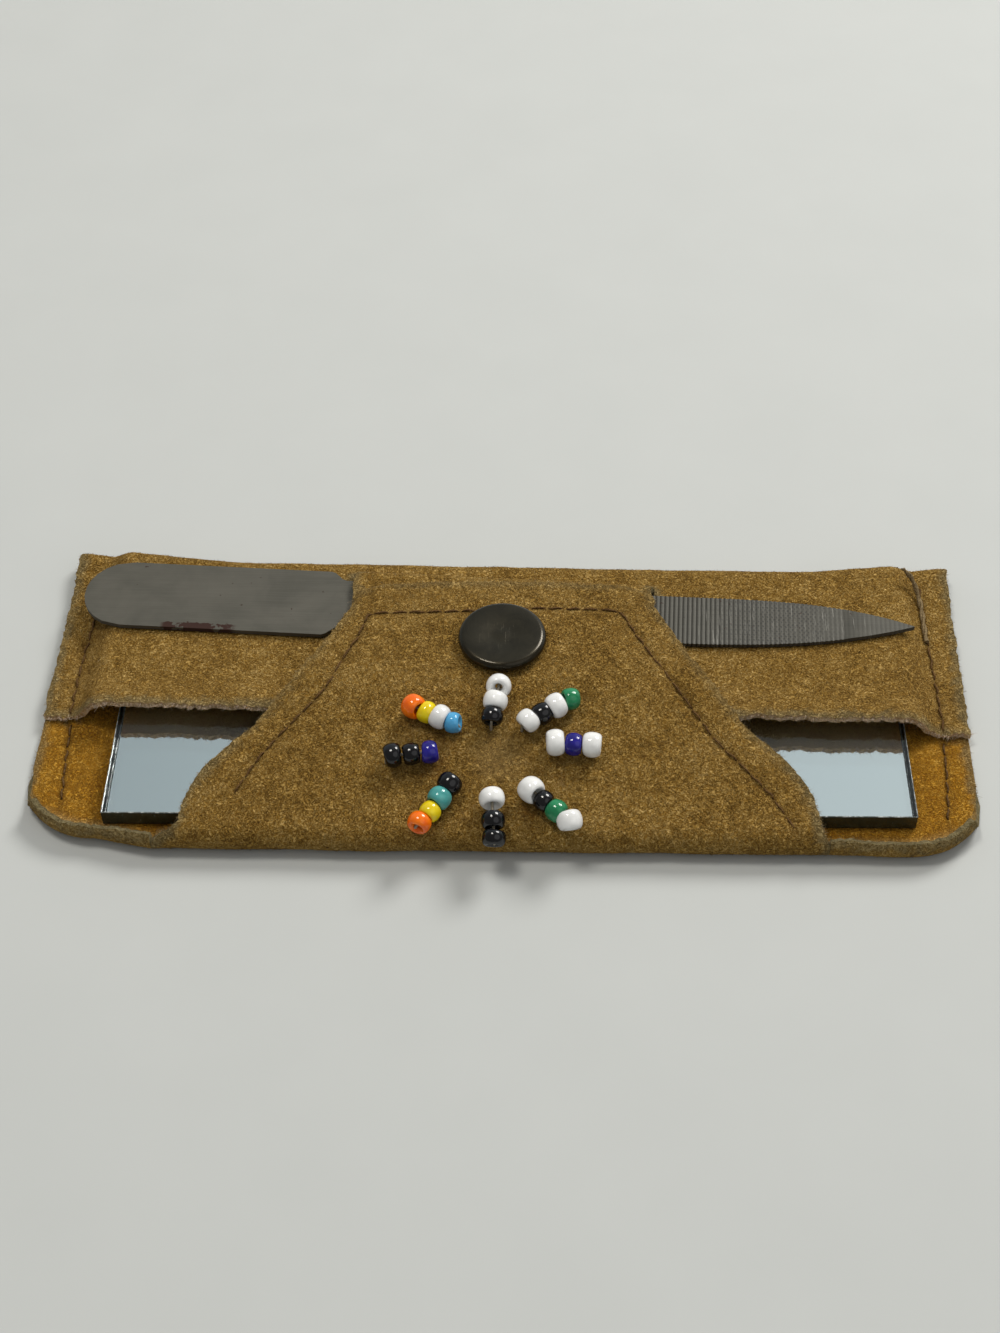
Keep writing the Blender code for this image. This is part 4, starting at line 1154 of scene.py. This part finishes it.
def round_edges(piece, width, angle=30):
    """Bevel the edges that turn by more than an angle."""
    rounding = piece.modifiers.new("Rounded edges", "BEVEL")
    rounding.width = width
    rounding.segments = 2
    rounding.limit_method = "ANGLE"
    rounding.angle_limit = math.radians(angle)
    return apply_all(piece)


def settle(piece, name, finish, body, slot, replaced=()):
    """Put a finished piece's place into its mesh, name it and hang it on a body."""
    piece.data.transform(piece.matrix_world)
    piece.matrix_world = Matrix.Identity(4)
    piece.name = name
    piece.data.name = name
    piece.data.materials.clear()
    for each in finish if isinstance(finish, list) else [finish]:
        piece.data.materials.append(each)
    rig.ride(piece, body)
    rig.slot(piece, slot)
    if replaced:
        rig.replaces(piece, *replaced)
    return piece


def copy_of(node, name):
    """A merged copy of a CAD node to carry more detail."""
    piece = only(put_in_scene(name, frame["nodes"][node].data.copy()))
    bpy.ops.object.mode_set(mode="EDIT")
    bpy.ops.mesh.select_all(action="SELECT")
    bpy.ops.mesh.remove_doubles(threshold=0.000002)
    bpy.ops.mesh.tris_convert_to_quads(face_threshold=0.3, shape_threshold=0.6)
    bpy.ops.object.mode_set(mode="OBJECT")
    return piece


def tube(name, points, radius, finish, sides=8, taper=None):
    """A round thread along points."""
    bm = bmesh.new()
    rings = []
    for i, point in enumerate(points):
        ahead = points[min(i + 1, len(points) - 1)] - points[max(i - 1, 0)]
        turn = ahead.to_track_quat("Z", "Y")
        size = radius * (taper(i / (len(points) - 1)) if taper else 1)
        corners = [math.tau * k / sides for k in range(sides)]
        rings.append([bm.verts.new(point + turn @ Vector((size * math.cos(a), size * math.sin(a), 0)))
                      for a in corners])
    for a, b in zip(rings, rings[1:]):
        for k in range(sides):
            bm.faces.new((a[k], a[(k + 1) % sides], b[(k + 1) % sides], b[k])).smooth = True
    bm.faces.new(list(reversed(rings[0])))
    bm.faces.new(rings[-1])
    return object_from(name, bm, [finish])


def join(pieces, name):
    deselect_all()
    for piece in pieces:
        piece.select_set(True)
    bpy.context.view_layer.objects.active = pieces[0]
    bpy.ops.object.join()
    pieces[0].name = name
    pieces[0].data.name = name
    return pieces[0]


# Mirror

def build_mirror():
    deselect_all()
    place = (*MIRROR_CENTRE, MIRROR_TOP - MIRROR_THICKNESS / 2)
    size = (MIRROR_WIDTH, MIRROR_HEIGHT, MIRROR_THICKNESS)
    bpy.ops.mesh.primitive_cube_add(size=1, location=place, rotation=(0, 0, MIRROR_TURN), scale=size)
    plate = only(bpy.context.object)
    bpy.ops.object.transform_apply(location=True, rotation=True, scale=True)
    round_edges(plate, 0.00013)
    finishes = [GLASS_EDGE, CLEAR_GLASS, SILVER, GROUND_GLASS]
    settle(plate, "mirror_plate", finishes, "pouch", "mirror", ["mirror"])
    for face in plate.data.polygons:
        if face.normal.z > 0.99:
            face.material_index = finishes.index(CLEAR_GLASS)
        elif face.normal.z > 0.2:
            face.material_index = finishes.index(GROUND_GLASS)
        elif face.normal.z < -0.99:
            face.material_index = finishes.index(SILVER)


build_mirror()


# Nail file

def build_file():
    blade = round_edges(copy_of("nail_file", "file_blade"), 0.00009, 60)
    bpy.ops.object.shade_smooth_by_angle(angle=math.radians(14))
    settle(blade, "file_blade", STEEL, "pouch", "steel", ["nail_file"])


build_file()


# Snap fastener

def spun(name, profile, centre, steps, finish, body, slot, replaced):
    """A round metal piece spun in edit mode from its outline of (radius, height)."""
    mesh = bpy.data.meshes.new(name)
    corners = len(profile)
    mesh.from_pydata([(r, 0, z) for r, z in profile], [(i, (i + 1) % corners) for i in range(corners)], [])
    piece = only(put_in_scene(name, mesh))
    bpy.ops.object.mode_set(mode="EDIT")
    bpy.ops.mesh.select_all(action="SELECT")
    bpy.ops.mesh.spin(steps=steps, angle=math.tau, center=(0, 0, 0), axis=(0, 0, 1))
    bpy.ops.mesh.select_all(action="SELECT")
    bpy.ops.mesh.remove_doubles(threshold=0.000002)
    bpy.ops.mesh.delete_loose()
    bpy.ops.mesh.select_all(action="SELECT")
    bpy.ops.mesh.normals_make_consistent(inside=False)
    bpy.ops.object.mode_set(mode="OBJECT")
    piece.location = centre
    bpy.context.view_layer.update()
    bpy.ops.object.shade_smooth_by_angle(angle=math.radians(32))
    return settle(piece, name, finish, body, slot, replaced)


CAP_TOP = [(0, 0.00176), (0.0009, 0.00176), (0.0013, 0.00170), (0.0020, 0.00174), (0.0032, 0.00184),
           (0.0044, 0.00196)]
CAP_UNDERSIDE = [(0.0045, 0.00004), (0.0018, 0.00004), (0.0018, -0.0032), (0.0012, -0.0032), (0.0012, 0.0008),
                 (0, 0.0008)]
CAP_RIM_RADIUS = 0.00098
CAP_RIM_HEIGHT = 0.00102


def build_snap():
    low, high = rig.box("snap_cap")
    centre = (low + high) / 2
    rim = (high.x - low.x) / 2 - CAP_RIM_RADIUS
    turns = [math.pi / 2 - math.pi * i / 12 for i in range(13)]
    round_rim = [(rim + CAP_RIM_RADIUS * math.cos(turn), CAP_RIM_HEIGHT + CAP_RIM_RADIUS * math.sin(turn))
                 for turn in turns]
    spun("snap_cap_dome", CAP_TOP + round_rim + CAP_UNDERSIDE, (centre.x, centre.y, CAP_BOTTOM), 72,
         CAP_METAL, "flap", "gunmetal", ["snap_cap"])
    for node, body in (("snap_socket", "flap"), ("snap_stud", "pouch"), ("snap_post", "pouch")):
        ring = round_edges(copy_of(node, node + "_ring"), 0.00008, 40)
        bpy.ops.object.shade_smooth_by_angle(angle=math.radians(35))
        settle(ring, node + "_ring", BRASS, body, "snap_brass", [node])


build_snap()


# Beads and their threads

FLAP_PLACES = [FLAP_LINE.at(FLAP_LINE.length * i / 400) for i in range(400)]


def surface_under(point):
    """The flap's mid layer nearest a place, and the way it faces."""
    flat = UNTURNED @ point
    wanted = Vector((flat.y, flat.z))
    place, along = min(FLAP_PLACES, key=lambda pair: (pair[0] - wanted).length)
    facing = ASKEW.to_3x3() @ Vector((0, -along.y, along.x))
    return ASKEW @ Vector((flat.x, place.x, place.y)), facing.normalized()


def node_axis(node):
    """The middle of a bead's solid and the direction of its hole."""
    co = np.array([tuple(v.co) for v in frame["nodes"][node].data.vertices])
    centre = co.mean(0)
    directions = np.linalg.eigh(np.cov((co - centre).T))[1]
    return Vector(centre), Vector(directions[:, 0])


MOUTH_REACH = 0.62
MOUTH_THINNING = 0.80


def bead_shape(name, diameter, length, finish):
    """A rounded glass bead: a ring, drawn out along its hole and thinned at the mouth."""
    tube_radius = (diameter / 2 - BEAD_HOLE_RADIUS) / 2
    deselect_all()
    bpy.ops.mesh.primitive_torus_add(major_segments=36, minor_segments=18, minor_radius=tube_radius,
                                     major_radius=BEAD_HOLE_RADIUS + tube_radius)
    bead = bpy.context.object
    bpy.ops.object.mode_set(mode="EDIT")
    bpy.ops.mesh.select_all(action="SELECT")
    bpy.ops.transform.resize(value=(1, 1, length / 2 / tube_radius))
    bpy.ops.object.mode_set(mode="OBJECT")
    lopsided = Vector((chance.uniform(-1, 1), chance.uniform(-1, 1), 0)) * 0.05
    for vert in bead.data.vertices:
        around = vert.co.xy.length / (diameter / 2)
        if around < MOUTH_REACH:
            vert.co.z *= mix(MOUTH_THINNING, 1.0, around / MOUTH_REACH)
        vert.co.z *= 1 + lopsided.x * vert.co.x / diameter * 4 + lopsided.y * vert.co.y / diameter * 4
    bpy.ops.object.shade_smooth()
    bead.name = name
    bead.data.materials.append(finish)
    return bead


RAY_BEADS = (3, 4, 3, 4, 3, 4, 3, 4)
# How far single beads, by number, are tipped off their thread and turned
TILTS = {3: (0.70, 0.1), 4: (-0.2, 0.25), 7: (0.25, -0.3), 8: (0.0, 0.12), 11: (0.3, -0.15), 14: (-0.2, -0.2),
         21: (0.25, -0.25), 25: (0.15, 0.25), 28: (0.30, -0.35)}
# How far the beads of a ray lie from the middle of their solids, in x and y
RAY_SHIFTS = ((-0.0002, -0.0002), (-0.0004, -0.0002), (-0.0005, 0.0001), (-0.0005, 0.0002),
              (-0.0004, -0.0003), (-0.0009, -0.0002), (-0.0003, -0.0007), (-0.0002, 0.0))
# How much further single beads slid along the thread
SLIDES = {16: (0.0002, -0.0011), 17: (0.0003, -0.0007), 18: (0.0002, 0.0002), 21: (-0.0003, 0.0010)}


def build_bead(node, number, shift):
    """One bead on its solid's place. Returns its middle and the way the suede below it faces."""
    diameter = BEAD_SIZES[number - 1]
    colour = node.split("_", 2)[2]
    centre, axis = node_axis(node)
    facing = surface_under(centre)[1]
    length = chance.uniform(0.0025, 0.0029) * diameter / BEAD_DIAMETER
    bead = bead_shape(node + "_glass", diameter, length, GLASS[colour])
    lift, swing = TILTS.get(number, (chance.uniform(-0.12, 0.12), chance.uniform(-0.12, 0.12)))
    if axis.dot(Vector((0.4, -1, 0))) < 0:
        axis = -axis
    axis = Matrix.Rotation(swing, 3, facing) @ (axis * math.cos(lift) + facing * math.sin(lift))
    centre -= facing * (BEAD_DIAMETER - diameter) / 2
    centre += Vector((*shift, 0)) + Vector((*SLIDES.get(number, (0, 0)), 0))
    bead.matrix_world = Matrix.Translation(centre) @ axis.to_track_quat("Z", "Y").to_matrix().to_4x4()
    settle(bead, node + "_glass", GLASS[colour], "flap", "glass_" + colour, [node])
    return centre, facing


def smoothed(route, steps=6):
    """A smooth curve through a route's points."""
    curve = []
    for i in range(len(route) - 1):
        a, b, c, d = route[max(i - 1, 0)], route[i], route[i + 1], route[min(i + 2, len(route) - 1)]
        for k in range(steps):
            t = k / steps
            curve.append(0.5 * (2 * b + (c - a) * t + (2 * a - 5 * b + 4 * c - d) * t * t
                                + (3 * b - a - 3 * c + d) * t ** 3))
    return curve + [route[-1]]


def build_nylon(ray, centres):
    """The thread of a ray: up out of the suede, through its beads and down again."""
    (first, up_first), (last, up_last) = centres[0], centres[-1]
    outward = (centres[1][0] - first).normalized()
    onward = (last - centres[-2][0]).normalized()
    start, up_start = surface_under(first - outward * NYLON_PAST_BEADS)
    end, up_end = surface_under(last + onward * NYLON_PAST_BEADS)
    route = [start, start + up_start * 0.0008, first - outward * 0.0010 - up_first * 0.0004]
    route += [centre for centre, _ in centres]
    route += [last + onward * 0.0010 - up_last * 0.0004, end + up_end * 0.0008, end]
    name = f"bead_thread_{ray}_nylon"
    thread = tube(name, smoothed(route), NYLON_RADIUS, NYLON)
    settle(thread, name, NYLON, "flap", "thread", [f"bead_thread_{ray}"])


def build_star():
    nodes = iter(sorted(name for name in frame["nodes"] if name.startswith("bead_") and "thread" not in name))
    number = 0
    for ray, count in enumerate(RAY_BEADS, 1):
        centres = []
        for _ in range(count):
            number += 1
            centres.append(build_bead(next(nodes), number, RAY_SHIFTS[ray - 1]))
        build_nylon(ray, centres)


build_star()


# Lining

def build_lining():
    ply = copy_of("flap_lining", "lining_suede")
    finer = ply.modifiers.new("Finer", "SUBSURF")
    finer.subdivision_type = "SIMPLE"
    finer.levels = finer.render_levels = 2
    apply_all(ply)
    bpy.ops.object.shade_smooth_by_angle(angle=math.radians(40))
    settle(ply, "lining_suede", [SUEDE], "flap", "lining", ["flap_lining"])
    for name, value in (("inner", 1.0), ("from_edge", 9.0)):
        layer = ply.data.attributes.new(name, "FLOAT", "POINT")
        layer.data.foreach_set("value", [value] * len(ply.data.vertices))
    return ply


build_lining()


# Stitches

def stitches(name, line, over, pitch, radius, follow, below=False):
    """Single stitches along a seam: each a short thread that dips into the suede at both ends."""
    path = Line([Vector(point) for point in line])
    count = int(path.length / pitch)
    made = []
    for i in range(count):
        start = i * pitch + chance.uniform(0, 0.0002)
        end = start + pitch * chance.uniform(0.76, 0.92)
        points = []
        sway = chance.uniform(-0.00012, 0.00012)
        for k in range(7):
            share = k / 6
            place, along = path.at(mix(start, end, share))
            facing = over(place)
            across = facing.cross(along).normalized()
            depth = HALF_LEATHER - 0.00034 + 0.00026 * math.sin(math.pi * share) ** 0.6
            if below:
                facing = -facing
            points.append(place + facing * depth + across * sway * math.sin(math.pi * share * 2))
        made.append(tube(name, points, radius, STITCH, 6, lambda t: 0.65 + 0.35 * math.sin(math.pi * t)))
    return hang(join(made, name), follow)


def up(_place):
    return Vector((0, 0, 1))


def flap_facing(place):
    return surface_under(place)[1]


for name in ("left_strip", "left_back", "right_strip", "right_back"):
    stitches(name + "_stitches", SEAMS[name], up, STITCH_PITCH, STITCH_RADIUS, ride_pouch)
for name, x in (("left_under_stitches", -SEAM_X), ("right_under_stitches", SEAM_X)):
    ends = [(x, 0.0275, HALF_LEATHER), (x, -0.0232, HALF_LEATHER)]
    stitches(name, ends, up, STITCH_PITCH, STITCH_RADIUS, ride_pouch, below=True)
stitches("flap_stitches", SEAMS["flap"], flap_facing, FLAP_STITCH_PITCH, FLAP_STITCH_RADIUS, ride_flap)


# Loose end of the seam's doubled thread at the right top corner

# Its route over the strip, as x, y and height above the suede
TAIL_ROUTE = ((0.0710, 0.0145, 0.0002), (0.0709, 0.0180, 0.0003), (0.0709, 0.0221, 0.0003),
              (0.0705, 0.0243, 0.0008), (0.0700, 0.0256, 0.0016), (0.0690, 0.0264, 0.0026),
              (0.0674, 0.0264, 0.0032))
TAIL_STEPS = 60


def tail_taper(share):
    """Full width, thinning over the last part to the cut end."""
    return 1.0 - 0.35 * max(share - 0.85, 0) / 0.15


def build_tail():
    line = Line([Vector((x, y, strip_height(x, y) + HALF_LEATHER + rise)) for x, y, rise in TAIL_ROUTE])
    strands = []
    for side in (-1, 1):
        points = []
        for i in range(TAIL_STEPS + 1):
            place, along = line.at(line.length * i / TAIL_STEPS)
            across = along.cross(Vector((0, 0, 1))).normalized()
            spin = i / TAIL_STEPS * TAIL_TWIST
            outward = across * math.cos(spin) + along.cross(across) * math.sin(spin)
            points.append(place + side * TAIL_STRAND_FROM_MIDDLE * outward)
        strands.append(tube("seam_tail", points, TAIL_STRAND_RADIUS, TAIL_THREAD, 8, tail_taper))
    hang(join(strands, "seam_tail"), ride_pouch)


build_tail()


# Loose fibres along the cut edges

FIBRE_ROOT_RADIUS = 0.000032


def fibres(name, piece, count, follow, where=lambda face: True, finish=FIBRE):
    """Single bent fibres that stand out of a piece's cut edges."""
    rims = [face for face in piece.data.polygons if face.material_index == 1 and where(face)]
    bm = bmesh.new()
    for _ in range(count):
        face = chance.choice(rims)
        place = face.center + Vector([chance.uniform(-0.0003, 0.0003) for _ in range(3)])
        heading = (face.normal + Vector([chance.uniform(-0.7, 0.7) for _ in range(3)])).normalized()
        bend = Vector([chance.uniform(-1, 1) for _ in range(3)])
        length = chance.uniform(0.0002, 0.0007) * (2.0 if chance.random() < 0.05 else 1)
        place = place - heading * 0.0002
        heading.z = max(heading.z, (0.0002 - place.z) / length)
        bend.z = abs(bend.z)
        turn = heading.to_track_quat("Z", "Y")
        previous = None
        for k in range(4):
            share = k / 3
            centre = place + heading * length * share + bend * length * 0.35 * share * share
            radius = FIBRE_ROOT_RADIUS * (1 - 0.85 * share)
            ring = [bm.verts.new(centre + turn @ Vector((radius * math.cos(a), radius * math.sin(a), 0)))
                    for a in (0, math.tau / 3, math.tau * 2 / 3)]
            if previous:
                for j in range(3):
                    bm.faces.new((previous[j], previous[(j + 1) % 3], ring[(j + 1) % 3], ring[j]))
            previous = ring
    return hang(object_from(name, bm, [finish]), follow)


fibres("case_edge_fibres", case, 2500, ride_pouch)
fibres("strip_edge_fringe", case, 4500, ride_pouch, lambda face: on_strip_edge(face.center), FRINGE)
fibres("flap_edge_fibres", flap, 4500, bend_with_flap)


# The nap: short flat fibres lying in swirls on the suede

def unit(rows):
    return rows / np.linalg.norm(rows, axis=1)[:, None]


def nap(name, piece, count, follow):
    """Flat fibres spread over a piece: dense on top, none under the strip or on seams."""
    mesh = piece.data
    mesh.calc_loop_triangles()
    places = np.array([tuple(vert.co) for vert in mesh.vertices])
    normals = np.array([tuple(vert.normal) for vert in mesh.vertices])
    values = {}
    for key in ("from_edge", "inner", "seam"):
        values[key] = np.empty(len(places))
        mesh.attributes[key].data.foreach_get("value", values[key])
    faces = np.array([tuple(tri.vertices) for tri in mesh.loop_triangles if tri.material_index == 0])
    a, b, c = (places[faces[:, k]] for k in range(3))
    hidden = (values["inner"][faces].mean(1) > 0.5) & ((a + b + c)[:, 1] / 3 > -0.003)
    weight = np.linalg.norm(np.cross(b - a, c - a), axis=1)
    weight *= np.where(normals[faces].mean(1)[:, 2] > 0.1, 1.0, 0.4)
    weight *= np.where(hidden, 0.0, 1.0) * (values["seam"][faces].max(1) < 0.2)
    dice = np.random.default_rng(11)
    chosen = faces[dice.choice(len(faces), count, p=weight / weight.sum())]
    share = dice.dirichlet((1, 1, 1), count)

    def between(data):
        picked = data[chosen]
        return (picked * (share[..., None] if picked.ndim == 3 else share)).sum(1)

    root, facing = between(places), unit(between(normals))
    x, y = root[:, 0], root[:, 1]
    heading = 1.9 * np.sin(x * 610 + 2.1 * np.sin(y * 430)) + 1.9 * np.cos(y * 570 + 1.7 * np.sin(x * 380))
    heading += 1.3 * np.sin(x * 1900 + y * 1300) + dice.normal(0, 0.55, count)
    along = unit(np.array((1.0, 0.0, 0.0)) - facing * facing[:, :1])
    run = along * np.cos(heading)[:, None] + np.cross(facing, along) * np.sin(heading)[:, None]
    length = dice.uniform(0.00030, 0.00080, count)[:, None]
    lift = dice.uniform(0.10, 0.45, count)[:, None]
    beside = np.cross(facing, run) * dice.uniform(0.000022, 0.000045, count)[:, None]
    half = root + (run + facing * lift) * length * 0.5
    tip = root + (run + facing * lift * 0.6) * length
    corners = np.stack([root, half - beside, tip, half + beside], 1).reshape(-1, 3)
    corners[:, 2] = np.maximum(corners[:, 2], 0.00002)
    made = bpy.data.meshes.new(name)
    made.from_pydata(corners.tolist(), [], np.arange(4 * count).reshape(-1, 4).tolist())
    made.materials.append(NAP)
    for key, data in (("from_edge", between(values["from_edge"])), ("inner", between(values["inner"])),
                      ("shade", dice.random(count))):
        made.attributes.new(key, "FLOAT", "POINT").data.foreach_set("value", np.repeat(data, 4))
    return hang(put_in_scene(name, made), follow)


nap("case_nap", case, 60000, ride_pouch)
nap("flap_nap", flap, 60000, bend_with_flap)


# Flat sizes of the suede as it was cut

def area_under(places, lengths):
    steps = zip(places, places[1:], lengths, lengths[1:])
    return sum((a + b) / 2 * (right - left) for left, right, a, b in steps)


def pieces_named(*names):
    return [bpy.data.objects[name] for name in names]


def declare_suede():
    fold_lengths = [Line(case_section(x)).length for x in COLUMNS]
    margins = [Line(lower_margin(x)).length for x in COLUMNS]
    lips = [0 if FIRST < i < LAST else margin for i, margin in enumerate(margins)]
    case_lengths = [a + b for a, b in zip(fold_lengths, lips)]
    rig.sheet(case, flat=(CASE_WIDTH, max(case_lengths)), held="folded",
             area=area_under(COLUMNS, case_lengths),
             with_pieces=pieces_named("case_nap", "case_edge_fibres", "strip_edge_fringe"))
    steps = [FLAP_LINE.length * i / 60 for i in range(61)]
    widths = [flap_half_width(step, -1) + flap_half_width(step, 1) for step in steps]
    root = margins[FIRST:LAST + 1]
    flap_area = area_under(COLUMNS[FIRST:LAST + 1], root) + area_under(steps, widths)
    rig.sheet(flap, flat=(max(widths), max(root) + FLAP_LINE.length), held="folded", area=flap_area,
             with_pieces=pieces_named("flap_nap", "flap_edge_fibres"))
    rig.sheet(*pieces_named("lining_suede"), flat=LINING_FLAT, held="laid", area=LINING_AREA, rests_on=flap)


declare_suede()


# Stage, light and camera

def build_stage():
    deselect_all()
    bpy.ops.mesh.primitive_plane_add(size=4, location=(0, 0, -0.00002))
    table = bpy.context.object
    table.name = "table_top"
    paper = Finish("pale_table", Roughness=0.8)
    grain = paper.noise(0.02, 4)
    colour = paper.blend(grain, (0.478, 0.500, 0.490), (0.508, 0.530, 0.520))
    table.data.materials.append(paper.wear(Base_Color=colour))
    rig.stage(table)


def area_light(name, place, size, power, colour):
    """A round lamp that looks at the case."""
    lamp = bpy.data.lights.new(name, "AREA")
    lamp.shape = "DISK"
    lamp.size = size
    lamp.energy = power
    lamp.color = colour
    made = put_in_scene(name, lamp)
    made.location = place
    made.rotation_euler = (-Vector(place)).to_track_quat("-Z", "Y").to_euler()


def build_room():
    """Even light all round. Mirror and metal show a paler far wall, brighter towards the right."""
    world = bpy.data.worlds.new("room")
    bpy.context.scene.world = world
    world.use_nodes = True
    background = world.node_tree.nodes["Background"]
    room = Nodes(world.node_tree)
    heading = room.node("ShaderNodeTexCoord", output="Generated")
    sideways = room.node("ShaderNodeMapRange", None, {0: heading.axis(0), 1: -0.25, 2: 0.25})
    far_wall = room.blend(sideways, (1.04, 1.17, 1.23), (1.80, 1.96, 2.02))
    around = room.blend(heading.axis(1).rise(0.15, 0.50), (0.60, 0.59, 0.56), far_wall)
    glossy = room.node("ShaderNodeLightPath", output="Is Glossy Ray")
    through = room.node("ShaderNodeLightPath", output="Is Transmission Ray")
    room.feed(background.inputs["Color"], room.blend(glossy.most(through), (1.0, 0.99, 0.97), around))
    room.feed(background.inputs["Strength"], 0.33)


def build_light():
    area_light("window_behind", (0.50, 0.62, 0.78), 0.45, 8.6, (1.0, 0.97, 0.93))
    area_light("ceiling_left", (-0.28, 0.10, 1.05), 0.30, 4.0, (1.0, 0.95, 0.88))
    area_light("front_fill", (0.60, -0.50, 0.90), 1.10, 1.5, (0.98, 0.98, 0.97))
    build_room()


# The photograph's own view, worked out from it: angles in radians, place in metres, lens in pixels
CAMERA_PITCH = 0.845137
CAMERA_YAW = -0.048476
CAMERA_ROLL = -0.016473
CAMERA_PLACE = (0.0098145, -0.215664, 0.254190)
LENS_PIXELS = 2000
PHOTO_HEIGHT_PIXELS = 1333
SENSOR_HEIGHT = 36


def build_camera():
    level_forward = Vector((math.sin(CAMERA_YAW), math.cos(CAMERA_YAW), 0))
    level = Vector((math.cos(CAMERA_YAW), -math.sin(CAMERA_YAW), 0))
    forward = level_forward * math.cos(CAMERA_PITCH) - Vector((0, 0, math.sin(CAMERA_PITCH)))
    above = level.cross(forward)
    right = level * math.cos(CAMERA_ROLL) + above * math.sin(CAMERA_ROLL)
    upward = above * math.cos(CAMERA_ROLL) - level * math.sin(CAMERA_ROLL)
    lens = bpy.data.cameras.new("photo_view")
    lens.sensor_fit = "VERTICAL"
    lens.sensor_height = SENSOR_HEIGHT
    lens.lens = LENS_PIXELS / PHOTO_HEIGHT_PIXELS * SENSOR_HEIGHT
    lens.clip_start = 0.01
    camera = put_in_scene("photo_view", lens)
    turned = Matrix((right, upward, -forward)).transposed().to_4x4()
    camera.matrix_world = Matrix.Translation(CAMERA_PLACE) @ turned
    bpy.context.scene.camera = camera


build_stage()
build_light()
build_camera()
bpy.context.scene.view_settings.view_transform = "Standard"
with open("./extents.json", "w") as sizes:
    json.dump({"cad": [list(corner) for corner in cad_box], "visual": [list(corner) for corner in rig.bounds()]}, sizes)
